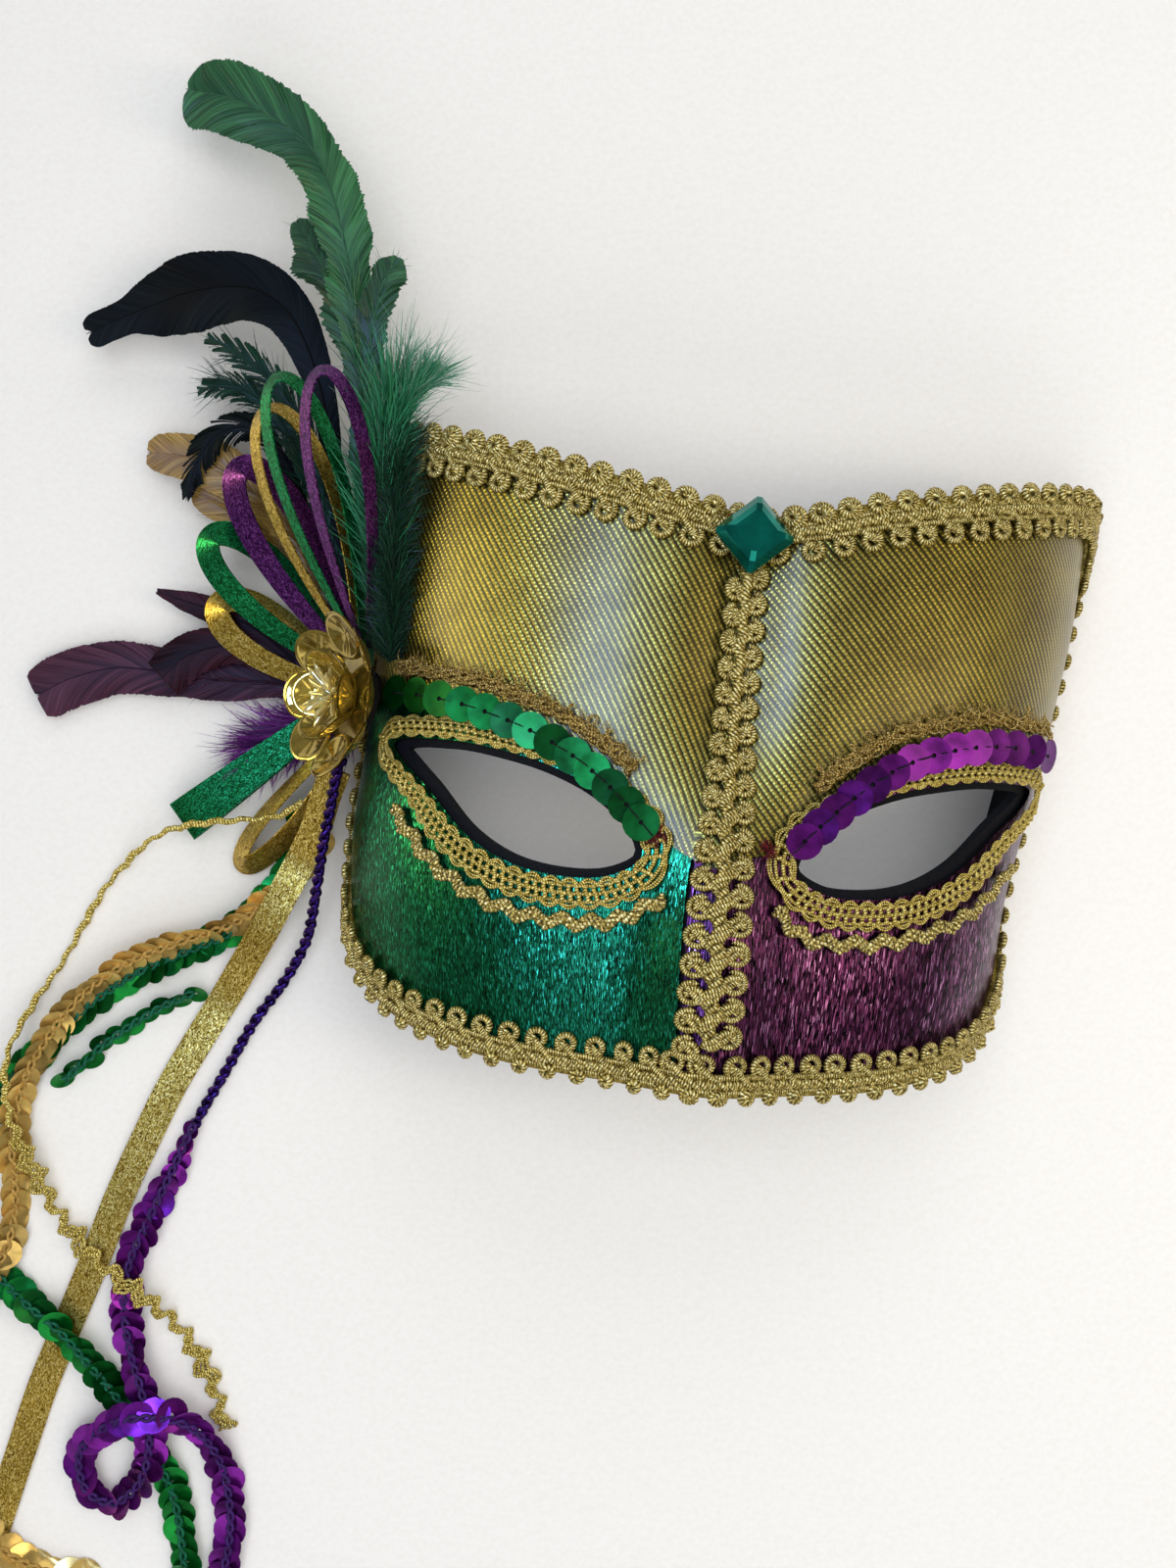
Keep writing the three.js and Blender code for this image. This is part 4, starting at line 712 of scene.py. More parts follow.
def makeCloths():
    spec = goldCloth
    us = np.linspace(-1, 1, spec["across"]) * (1 - wall["clothInset"] / spanScale)
    t = np.linspace(0, 1, spec["up"])[:, None]
    y = browAt(us) * (1 - t) + (topEdge(us) - wall["clothInset"]) * t
    u = np.broadcast_to(us, y.shape)
    place = clothPlace(u, y)
    # ribs run down to the right, steeper on the left half
    steep = np.where(u < 0, math.radians(spec["ribsLeft"]), math.radians(spec["ribsRight"]))
    ribs = np.stack([place[..., 0] * np.sin(steep) + place[..., 1] * np.cos(steep),
                     place[..., 1] * np.sin(steep) - place[..., 0] * np.cos(steep)], -1)
    gold = gridPart(raised(u, y, wall["cloth"] + slack(u, y, spec["slack"], spec["seed"])), ribs)
    sheets = [("gold_cloth", gold, lame, "gold_lame", "gold_cover")]
    for side, name, material in ((-1, "green", greenLurex), (1, "purple", purpleLurex)):
        outline = outlineOf(side, browAt, wall["clothInset"], layers["clothGap"])
        u, y = roundEye(eyeOutline(side, layers["eyeSteps"]), outline, layers["clothRings"])
        points = raised(u, y, wall["cloth"] + slack(u, y, lurexSlack, side))
        part = gridPart(points, clothPlace(u, y), closed=True)
        sheets.append((name + "_cloth", part, material, name + "_lurex", name + "_cover"))
    for name, part, material, slot, node in sheets:
        made = build(name, part, material, [node])


makeShell()
makeCloths()
print("backing and cloths made")

# Scroll gimp: a twisted stem with a closed bobble on one side and an open curl on the other
edgeRows = [(0.2, 56.4, 5.5, 6.2), (0.4, 61.4, 5.5, 6.2), (0.6, 65.2, 5.4, 6), (0.77, 66.8, 5, 5.6),
            (0.875, 64, 4.4, 5), (0.91, 56, 4.4, 5), (0.915, 34, 4.6, 5), (0.915, 10, 4.6, 5),
            (0.91, -12, 4.6, 5), (0.885, -26, 4, 5), (0.79, -38, 4, 5), (0.63, -46, 4, 5.5),
            (0.4, -51, 4, 6), (0.2, -53, 4, 6)]
edgeTop = (0.028, 51.2, 5.5, 6.2)  # u, y, reach outwards, reach inwards
edgeBottom = (0.028, -53.4, 4, 6)
gimp = {"pitch": 5.7, "stem": 0.62, "stemTwist": 3.6, "cord": 0.86, "curlCord": 0.68,
        "stepsPerMotif": 12, "dense": 4000, "measuredAt": 3.0, "blend": 30, "bobble": 0.39,
        "lowBobble": 0.8, "lowFrom": -20, "curl": 1 / 3, "tapeIn": -1.6, "tapeOut": 0.62,
        "carriers": (-1.5, 1.3), "jitter": 0.12, "bobbleSpiral": (0.2, -100, 620, 21, 1.0),
        "curlSpiral": (0.35, 60, -470, 19, 0.2)}
centreGimp = {"top": 43.6, "bottom": -46.4, "half": 5.6, "pitch": 5.1, "low": 2.5, "sway": 0.5, "rope": 0.9,
              "strand": 0.64, "curl": 2.2, "cord": 0.64, "steps": 420, "leafCord": 0.8,
              "curlSpiral": (0.3, 200, -520, 28, 0.3)}
leafSteps = np.linspace(0, 1, 9)


# Inner size against outer size, start and sweep in degrees, steps, and lift at the end
def spiral(inner, start, sweep, count, lift):
    t = np.linspace(0, 1, count)
    angle = math.radians(start) + math.radians(sweep) * t
    size = 1.0 + (inner - 1.0) * t
    return size * np.cos(angle), size * np.sin(angle), lift * t


def ropePath(line, angle, spread, rise, height, sway=0.0):
    return trimPath(line, spread * np.cos(angle) + sway, height + rise * np.sin(angle))


def makeEdgeBraid():
    mirrored = [(-row[0],) + row[1:] for row in edgeRows[::-1]]
    rows = np.array([edgeTop] + edgeRows + [edgeBottom] + mirrored, float)
    rows[:, 0] *= spanScale
    line = smoothLine(rows[:, :2], gimp["dense"], closed=True)
    loop = np.vstack([line, line[:1]])
    far = distances(raised(loop[:, 0] / spanScale, loop[:, 1], gimp["measuredAt"]))
    count = int(round(far[-1] / gimp["pitch"]))
    fine = count * gimp["stepsPerMotif"]
    want = np.linspace(0, far[-1], fine, endpoint=False)
    u = np.interp(want, far, loop[:, 0]) / spanScale
    y = np.interp(want, far, loop[:, 1])
    whole = trimLine(u, y, closed=True)
    near = np.argmin(np.hypot(u[:, None] * spanScale - rows[None, :, 0], y[:, None] - rows[None, :, 1]), 1)
    window = np.ones(gimp["blend"]) / gimp["blend"]
    reach = [np.convolve(np.concatenate([rows[near, k]] * 3), window, "same")[fine:2 * fine] for k in (2, 3)]
    parts = []
    stem = gimp["stem"]
    base = wall["trim"] + stem
    for phase in (0, math.pi):
        angle = turn * np.round(far[-1] / gimp["stemTwist"]) * np.arange(fine) / fine + phase
        parts.append(tubes(ropePath(whole, angle, stem * 0.8, stem * 0.6, base + 0.3), stem, 6, closed=True))
    # the woven tape under the scrolls
    widths = np.array([gimp["tapeIn"]] * 2 + [gimp["tapeOut"]] * 2)
    across = np.where(widths < 0, widths, widths * reach[0][:, None])
    foot, top = wall["cloth"] - 0.4, base - 0.2
    ring = onTrim(whole, 0.0, across, np.broadcast_to([foot, top, top, foot], (fine, 4)))
    parts.append(gridPart(np.concatenate([ring, ring[:1]]), closed=True))
    for place in gimp["carriers"]:  # plain cords that carry the curls
        parts.append(tubes(trimPath(whole, place, base - 0.1), stem, 5, closed=True))
    pick = np.arange(count) * gimp["stepsPerMotif"]
    motif = picked(whole, pick)
    outer, inner = reach[0][pick][:, None], reach[1][pick][:, None]
    jitter = rng.normal(0, gimp["jitter"], (count, 1))
    # outer bobbles: a spiral that closes up into a dome
    a, b, h = spiral(*gimp["bobbleSpiral"])
    size = gimp["bobble"] * outer * np.where(motif["y"][:, None] < gimp["lowFrom"], gimp["lowBobble"], 1.0)
    side = outer - size - 0.6 * gimp["cord"] + b * size
    parts.append(tubes(onTrim(motif, a * size + jitter, side, base + h), gimp["cord"], 6))
    # inner curls stay open
    a, b, h = spiral(*gimp["curlSpiral"])
    size = gimp["curl"] * inner
    side = -(inner - size - 0.6 * gimp["curlCord"]) + b * size
    along = a * size + gimp["pitch"] / 2 + jitter
    parts.append(tubes(onTrim(motif, along, side, base + h), gimp["curlCord"], 6))
    # a short leaf joins each open curl to the stem
    t = leafSteps
    along = gimp["pitch"] * (-0.15 + 0.75 * t) + jitter
    side = -(inner - 1.2) * 0.75 * t ** 1.6 - 0.2
    height = base + 0.1 + 0.2 * np.sin(np.pi * t)
    parts.append(tubes(onTrim(motif, along, side, height), gimp["curlCord"], 6))
    build("edge_gimp", join(parts), goldThread, ["edge_braid"])


def makeCentreBraid():
    spec = centreGimp
    y = np.linspace(spec["top"], spec["bottom"], spec["steps"])
    whole = trimLine(acrossAt(np.zeros(len(y)), y), y)
    length = spec["top"] - spec["bottom"]
    base = spec["low"] + gimp["stem"]
    parts = []
    sway = spec["sway"] * np.sin(turn * (y - spec["bottom"]) / spec["pitch"])
    for phase in (0, turn / 3, 2 * turn / 3):
        angle = turn * (length / gimp["stemTwist"]) * np.linspace(0, 1, len(y)) + phase
        path = ropePath(whole, angle, spec["rope"], spec["rope"] * 0.6, base + 0.35, sway)
        parts.append(tubes(path, spec["strand"], 7))
    count = int(round(length / spec["pitch"]))
    a, b, h = spiral(*spec["curlSpiral"])
    size, t = spec["curl"], leafSteps
    for side, offset in ((1, 0.25), (-1, 0.75)):
        ys = spec["top"] - (np.arange(count) + offset) * spec["pitch"]
        motif = trimLine(acrossAt(np.zeros(count), ys), ys)
        curl = side * (spec["half"] - size - spec["cord"] + b * size)
        parts.append(tubes(onTrim(motif, a * size, curl, base + h), spec["cord"], 6))
        along = spec["pitch"] * (0.5 - 0.85 * t)
        across = side * (spec["half"] - 1.6) * t ** 0.8
        leaf = onTrim(motif, along, across, base + 0.15)
        parts.append(tubes(leaf, gimp["cord"] * spec["leafCord"], 6))
    build("centre_gimp", join(parts), goldThread, ["centre_braid"])


makeEdgeBraid()
makeCentreBraid()
print("gimp made")

# Lines of the trims over and under each eye, from the outer end inwards
trims = {-1: {"side": "left", "film": "green",
              "sequins": [(-66, 14.5), (-54, 13.6), (-43, 11), (-32, 6.6), (-21.5, -0.5), (-13.6, -8)],
              "ricrac": [(-64, -9.5), (-53.5, -19.8), (-41.4, -25.6), (-29, -27.2), (-18, -25.8),
                         (-9, -20.8)]},
         1: {"side": "right", "film": "purple",
             "sequins": [(65, 15.2), (52, 15.6), (41, 13.4), (31, 9), (21, 0.6), (12.2, -8.6)],
             "ricrac": [(60.5, -8.8), (51, -18.6), (39, -24.2), (27, -26.4), (16, -25.8), (9, -21.2)]}}

# Flat ladder braid round each eye, with a scalloped edge. Cords: share of the width and thickness, or swing.
eyeBraid = {"near": 0.4, "overLid": 4.4, "underLid": 5.8, "lidBlend": 4, "bar": 1.5, "loop": 3.4,
            "cord": 0.42, "rung": 0.44, "steps": 5, "wire": 0.24, "rungFrom": 0.16, "rungSpan": 0.64,
            "dense": 1200, "cords": ((0.2, 0.34), (0.48, 0.42), (0.76, 0.34)),
            "wires": ((0.16, -0.2), (0.2, -0.14), (0.78, 0.14), (0.82, 0.2))}


def makeEyeBraid(side):
    spec = eyeBraid
    length = lineLength(eyeOutline(side, spec["dense"]))
    bars = int(round(length / spec["bar"]))
    fine = bars * spec["steps"]
    ring = eyeOutline(side, fine)
    line = trimLine(acrossAt(ring[:, 0], ring[:, 1]), ring[:, 1], closed=True)
    lid = ring[:, 1].mean()
    upper = smoothStep(lid - spec["lidBlend"], lid + spec["lidBlend"], ring[:, 1])
    span = spec["underLid"] + (spec["overLid"] - spec["underLid"]) * upper - spec["near"]
    far = np.arange(fine) * length / fine
    loops = np.round(length / spec["loop"])
    wave = np.abs(np.sin(math.pi * loops * np.arange(fine) / fine))
    base = wall["trim"] + spec["cord"]
    parts = []
    # the left side of the eye's outline is inside the right eye and outside the left one, hence -side
    for share, thick in spec["cords"]:
        path = trimPath(line, -side * (spec["near"] + span * share), base + 0.1 * np.sin(far * 3))
        parts.append(tubes(path, thick, 6, closed=True))
    for share, swing in spec["wires"]:  # looped edges of two wires
        path = trimPath(line, -side * (spec["near"] + span * (share + swing * wave)), base - 0.1)
        parts.append(tubes(path, spec["wire"], 5, closed=True))
    pick = np.arange(bars) * spec["steps"]
    t = leafSteps
    across = spec["near"] + span[pick][:, None] * (spec["rungFrom"] + spec["rungSpan"] * t)
    height = base + 0.3 + 0.2 * np.abs(np.sin(turn * t))
    rungs = onTrim(picked(line, pick), 0.3 * np.sin(turn * t), -side * across, height)
    parts.append(tubes(rungs, spec["rung"], 6))
    name = trims[side]["side"]
    build("eye_ladder_" + name, join(parts), yellowThread, ["eye_braid_" + name])


# Wavy braid under each eye: strands that sway together
eyeRicrac = {"pitch": 5.6, "sway": 0.8, "strand": 0.48, "spread": 0.74, "rise": 0.8, "steps": 360,
             "strands": (-1.1, -0.35, 0.35, 1.1)}


def makeEyeRicrac(side):
    spec = eyeRicrac
    rows = trims[side]["ricrac"]
    line = planTrim(rows, spec["steps"])
    far = np.linspace(0, lineLength(smoothLine(rows, spec["steps"])), spec["steps"])
    phase = turn * np.round(far[-1] / spec["pitch"]) * far / far[-1]
    bend = np.arcsin(0.97 * np.sin(phase)) / 1.33 + 0.12 * np.sin(5.3 * phase)  # points rather than waves
    strands = []
    for place in spec["strands"]:
        across = spec["sway"] * bend + place * spec["spread"] - side * spec["rise"]
        height = wall["trim"] + spec["strand"] + 0.3 * np.cos(phase * 4 + 5 * place)
        strands.append(trimPath(line, across, height))
    name = trims[side]["side"]
    build("eye_zigzag_" + name, tubes(np.array(strands), spec["strand"], 6), goldThread,
          ["eye_ricrac_" + name])


# Thin fuzzy braid over each row of sequins: three cords, crinkled wire that loops along them, and loose ends
browBraid = {"lift": 5.6, "reach": 0.84, "cord": 0.5, "steps": 420, "lay": 3.1, "wire": 0.2,
             "wireSteps": 1200, "cords": ((-1.3, 0), (-0.5, 2), (0.3, 4)),
             "wires": ((-1.0, 0.9, 1.9), (0.2, 1.1, 2.4), (1.4, 1.4, 4.2)),
             "hairs": 160, "hair": 0.08, "dense": 600, "every": 12}


def makeBrowBraid(side):
    spec = browBraid
    fine, many, hairs = spec["steps"], spec["wireSteps"], spec["hairs"]
    rows = smoothLine(trims[side]["sequins"], spec["dense"])
    rows = rows[:int(spec["dense"] * spec["reach"])]
    line = planTrim(rows[::spec["every"]], fine)
    length = lineLength(rows)
    far = np.linspace(0, length, fine)
    up = -side  # the line runs inwards from the outer end
    base = wall["trim"] + spec["cord"]
    parts = []
    for low, phase in spec["cords"]:
        angle = turn * far / spec["lay"] + phase
        path = trimPath(line, up * (spec["lift"] + low + 0.3 * np.sin(angle)), base + 0.2 * np.cos(angle))
        parts.append(tubes(path, spec["cord"], 6))
    name = trims[side]["side"]
    build("brow_core_" + name, join(parts), coreThread, ["brow_braid_" + name])
    parts = []
    at = np.linspace(3, fine - 4, many)
    curly = {key: np.interp(at, np.arange(fine), value) for key, value in line.items()}
    s = np.linspace(0, length, many)
    for low, size, step in spec["wires"]:
        angle = turn * s / step + 1.5 * np.sin(s / 3.7 + low) + rng.uniform(0, turn)
        loop = size * (0.75 + 0.35 * np.sin(s / 2.3 + 3 * low))
        path = trimPath(curly, up * (spec["lift"] + low + loop * np.sin(angle)),
                        base + 0.5 + 0.35 * np.sin(angle * 0.5), loop * np.cos(angle))
        parts.append(tubes(path, spec["wire"], 4))
    motif = picked(line, rng.integers(4, fine - 4, hairs))
    t = np.linspace(0, 1, 5)
    lean = rng.normal(0, 1.1, (hairs, 1))
    rise = rng.uniform(0.6, 3.0, (hairs, 1))
    start = spec["lift"] + rng.uniform(-0.6, 1.2, (hairs, 1))
    ends = onTrim(motif, lean * t ** 1.5, up * (start + rise * t), base + 0.3 + 0.5 * np.sin(np.pi * t))
    parts.append(tubes(ends, spec["hair"], 3))
    build("brow_wire_" + name, join(parts), dullThread)


# Sequins: cupped discs with a hole, set by a centre, a facing and a forward direction
discRings = np.array([0.13, 0.2, 0.6, 0.92, 1.0])
discHeights = np.array([0.0, 0.0, 0.25, 0.85, 0.9])
discSides = 18


def sequins(centres, facing, forward, radius, cup, tint, seed):
    spin = np.random.default_rng(seed).uniform(0, turn, len(centres))[:, None]
    side = unit(np.cross(forward, facing))
    ahead = unit(np.cross(facing, side))
    theta = (turn * np.arange(discSides) / discSides)[None] + spin
    about = np.cos(theta)[..., None] * side[:, None] + np.sin(theta)[..., None] * ahead[:, None]
    size = np.array(np.broadcast_to(radius, len(centres)))[:, None, None, None]
    points = (centres[:, None, None] + about[:, None] * discRings[None, :, None, None] * size
              + facing[:, None, None] * (discHeights * cup)[None, :, None, None])
    return join([gridPart(p, closed=True, tint=c) for p, c in zip(points, tint)])


# Row of sequins over each eye, sewn with dark thread to a dark tape that is partly the sewing and partly
# painted shadow under the discs
rowSequin = {"radius": 3.6, "pitch": 4.45, "lift": 4.3, "rise": 0.55, "tilt": 10, "cup": 0.12, "tape": 1.7,
             "tapeSteps": 200, "stitch": 0.14, "stitchReach": 1.05, "dense": 800, "tint": (0.4, 1.1)}


def makeSequinRow(side):
    spec = rowSequin
    name, film = trims[side]["side"], trims[side]["film"]
    rows = trims[side]["sequins"]
    count = int(round(lineLength(smoothLine(rows, spec["dense"])) / spec["pitch"]))
    line = smoothLine(rows, count + 1)
    line = (line[1:] + line[:-1]) / 2
    u = acrossAt(line[:, 0], line[:, 1])
    centres = raised(u, line[:, 1], spec["lift"] + spec["rise"])
    out = faceFrame(u, line[:, 1])[2]
    forward = unit(np.gradient(centres, axis=0))
    lean = np.radians(spec["tilt"] + rng.normal(0, 2.5, count))[:, None]
    facing = unit(out * np.cos(lean) + forward * np.sin(lean) + rng.normal(0, 0.06, (count, 3)))
    tint = rng.uniform(*spec["tint"], (count, 1)) * np.ones((count, 3))
    part = sequins(centres, facing, forward, spec["radius"], spec["cup"], tint, seed=3)
    build("sequins_" + name, part, films[film], ["sequin_row_" + name])
    t = np.linspace(0, 1, 7)[None, :, None]
    stitch = (centres[:, None] + forward[:, None] * spec["radius"] * spec["stitchReach"] * t
              + facing[:, None] * (0.3 + 0.5 * np.sin(np.pi * t)))
    # the tape, dark like the thread and standing in for the shadow under the discs, is closed at both ends
    half, steps = spec["tape"], spec["tapeSteps"]
    feet = np.full(steps, wall["cloth"] - 0.2)
    tops = np.full(steps, spec["lift"] - 0.1)
    tops[[0, -1]] = feet[0]
    tape = gridPart(onTrim(planTrim(rows, steps), 0.0, np.array([-half, -half, half, half]),
                           np.stack([feet, tops, tops, feet], 1)), closed=True)
    build("sequin_thread_and_shadow_tape_" + name, join([tubes(stitch, spec["stitch"], 4), tape]), darkThreadAndShadow)


for eyeSide in (-1, 1):
    makeEyeBraid(eyeSide)
    makeEyeRicrac(eyeSide)
    makeBrowBraid(eyeSide)
    makeSequinRow(eyeSide)
print("eye trims made")

# Red thread ends at the inner corner of each eye
tufts = {"places": ((-12.2, -8.6), (7.4, -9.4)), "count": 40, "thread": 0.11, "lift": 0.8, "scatter": 0.5}


def makeThreadTufts():
    parts = []
    t = np.linspace(0, 1, 6)
    shape = (tufts["count"], 1)
    for x, y in tufts["places"]:
        heading = rng.uniform(0, turn, shape)
        reach = rng.uniform(0.8, 2.4, shape)
        px = x + rng.normal(0, tufts["scatter"], shape) + np.cos(heading) * reach * t
        py = y + rng.normal(0, tufts["scatter"], shape) + np.sin(heading) * reach * t
        lift = wall["trim"] + tufts["lift"] + rng.uniform(0.2, 1.2, shape) * np.sin(np.pi * t * 0.8)
        parts.append(tubes(raised(acrossAt(px, py), py, lift), tufts["thread"], 4))
    build("thread_tufts", join(parts), redThread)


makeThreadTufts()


# The square stone: tinted acrylic with clipped corners, a girdle, two slopes and a flat table
def stoneRing(reach, z, cut):
    ring = [np.array([reach * math.cos(k * turn / 4), reach * math.sin(k * turn / 4), z]) for k in range(4)]
    made = []
    for k in range(4):
        made.append(ring[k] + (ring[k - 1] - ring[k]) * cut)
        made.append(ring[k] + (ring[(k + 1) % 4] - ring[k]) * cut)
    return made


def makeStone():
    half, tableHalf = stone["side"] / math.sqrt(2), stone["table"] / math.sqrt(2)
    clip, girdle = stone["clip"], stone["girdle"]
    verts = (stoneRing(half, 0.0, clip) + stoneRing(half, girdle, clip)
             + stoneRing((half + tableHalf) / 2, girdle + stone["crown"], 1.5 * clip)
             + stoneRing(tableHalf, stone["height"], 2 * clip))
    faces = []
    for low in (0, 8, 16):
        for k in range(8):
            j = (k + 1) % 8
            faces.append((low + k, low + j, low + 8 + j, low + 8 + k))
    faces.append(tuple(range(24, 32)))
    faces.append(tuple(range(7, -1, -1)))
    lean, spin = math.radians(-stone["lean"]), math.radians(-stone["turn"])
    aboutZ = np.array([[math.cos(spin), -math.sin(spin), 0], [math.sin(spin), math.cos(spin), 0], [0, 0, 1]])
    aboutX = np.array([[1, 0, 0], [0, math.cos(lean), -math.sin(lean)], [0, math.sin(lean), math.cos(lean)]])
    placed = np.array(verts) @ (aboutX @ aboutZ).T + [stone["x"], stone["y"], stone["z"]]
    glass, tree, shader = newMaterial("teal acrylic stone", {"Metallic": 0.8, "Roughness": 0.08, "IOR": 1.49})
    cloudy = noise(tree, 260.0, 2.0, inSpace(tree))
    feed(tree, shader, {"Base Color": ramp(tree, cloudy, [(0.3, "#05665a"), (0.7, "#0c8a7a")])})
    mesh = bpy.data.meshes.new("stone")
    mesh.from_pydata(inPart(placed).tolist(), [], faces)
    mesh.materials.append(glass)
    made = bpy.data.objects.new("stone", mesh)
    bpy.context.collection.objects.link(made)
    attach(made, "root")
    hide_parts("jewel")


makeStone()

# The rosette on the left side wall. Its head is turned on the stem, and heights run from the stem's top.
rosette = {"wallU": 0.765, "y": 15, "lean": 60, "coverHigh": 1.5, "stemLength": 6.6, "headLean": 50,
           "headAcross": 4.2, "headDown": 2, "skin": 0.22, "crease": 0.28, "plateTint": 0.6,
           "outer": {"count": 8, "radius": 5.4, "ring": 12.6, "height": 2.2, "tilt": 36, "hub": 9.2,
                     "seed": 5},
           "inner": {"count": 6, "radius": 4.8, "ring": 6.8, "height": 3.8, "tilt": 46, "hub": 4.6,
                     "seed": 6},
           "beads": {"count": 13, "radius": 0.62, "length": 8, "height": 5.8, "tilt": 30, "margin": 0.8}}
petalRings = np.array([0.04, 0.15, 0.3, 0.45, 0.6, 0.72, 0.82, 0.9, 0.96, 1.0])[:, None]
petalCup = np.interp(petalRings, [0, 0.3, 0.72, 0.9, 1.0], [0.0, 0.05, 0.75, 1.15, 1.0]) - 0.5
petalSides = 40
roseUp = np.array([0.0, 1.0, 0.0])


def leaning(degrees):
    out = np.array([-math.sin(math.radians(degrees)), 0, math.cos(math.radians(degrees))])
    return out, np.cross(roseUp, out)


stemOut, stemAcross = leaning(rosette["lean"])
headOut, headAcross = leaning(rosette["headLean"])
stemFoot = raised(-rosette["wallU"], rosette["y"], rosette["coverHigh"])
headFoot = (stemFoot + stemOut * rosette["stemLength"] + headAcross * rosette["headAcross"]
            - roseUp * rosette["headDown"])


def roundStem(degrees, out, height):
    a = math.radians(degrees)
    return stemFoot + stemOut * height + (stemAcross * math.cos(a) + roseUp * math.sin(a)) * out


# Petals are thin moulded cups with a raised rim and a few creases from the middle
def petalPart(spec):
    draw = np.random.default_rng(spec["seed"])
    angle = turn * np.arange(petalSides) / petalSides
    rise = math.sin(math.radians(spec["tilt"])) * (spec["ring"] + spec["radius"] - spec["hub"]) / 2
    reach = spec["radius"] * petalRings * np.ones(petalSides)
    parts = []
    for k in range(spec["count"]):
        a = turn * k / spec["count"]
        away = headAcross * math.cos(a) + roseUp * math.sin(a)
        centre = headFoot + headOut * (spec["height"] + rise) + away * spec["ring"]
        tilt = math.radians(spec["tilt"] + draw.normal(0, 7))
        forward = away * math.cos(tilt) + headOut * math.sin(tilt)
        facing = headOut * math.cos(tilt) - away * math.sin(tilt)
        side = np.cross(facing, forward)
        creases = rosette["crease"] * np.clip(np.cos(5 * angle + draw.uniform(0, turn)), 0, 1) ** 3
        bulge = petalCup + creases * np.sin(math.pi * petalRings)
        shade = draw.uniform(0.7, 1.15)
        for skin in (0.0, rosette["skin"]):
            points = (centre + side * (reach * np.cos(angle))[..., None]
                      + forward * (reach * np.sin(angle))[..., None] + facing * (bulge - skin)[..., None])
            parts.append(gridPart(points, closed=True, tint=shade))
    # the round plate that carries this ring
    reach = np.linspace(0.05, 1, 6)[:, None] * spec["hub"]
    about = headAcross * np.cos(angle)[:, None] + roseUp * np.sin(angle)[:, None]
    plate = headFoot + headOut * spec["height"] + about * reach[..., None]
    parts.append(gridPart(plate, closed=True, tint=rosette["plateTint"]))
    return join(parts)


def makeRosette():
    for ring in ("outer", "inner"):
        build("rosette_" + ring, petalPart(rosette[ring]), amberFilm,
              ["flower_" + ring + "_petals"])
    spec = rosette["beads"]
    start = headFoot + headOut * spec["height"]
    rods = []
    for k in range(spec["count"]):
        a = turn * (k + 0.5) / spec["count"]
        away = headAcross * math.cos(a) + roseUp * math.sin(a)
        tip = math.radians(spec["tilt"]) + rng.normal(0, 0.12)
        along = away * math.cos(tip) + headOut * math.sin(tip)
        end = spec["length"] - spec["margin"] + rng.normal(0, 0.5)
        rods.append(start + along * np.linspace(spec["margin"], end, 6)[:, None])
    build("rosette_beads", tubes(np.array(rods), spec["radius"], 10), bugleFilm,
          ["flower_beads"])
    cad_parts["flower_base"].data.materials.clear()
    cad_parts["flower_base"].data.materials.append(blackFelt)


makeRosette()
print("stone and rosette made")


# Feathers. Rows along a shaft: x, y, z and whole width. Each starts at a place round the rosette's stem.
def down(count, start, end, reach, spread, width, **more):
    return {"count": count, "start": start, "end": end, "reach": reach, "spread": spread,
            "width": width, **more}


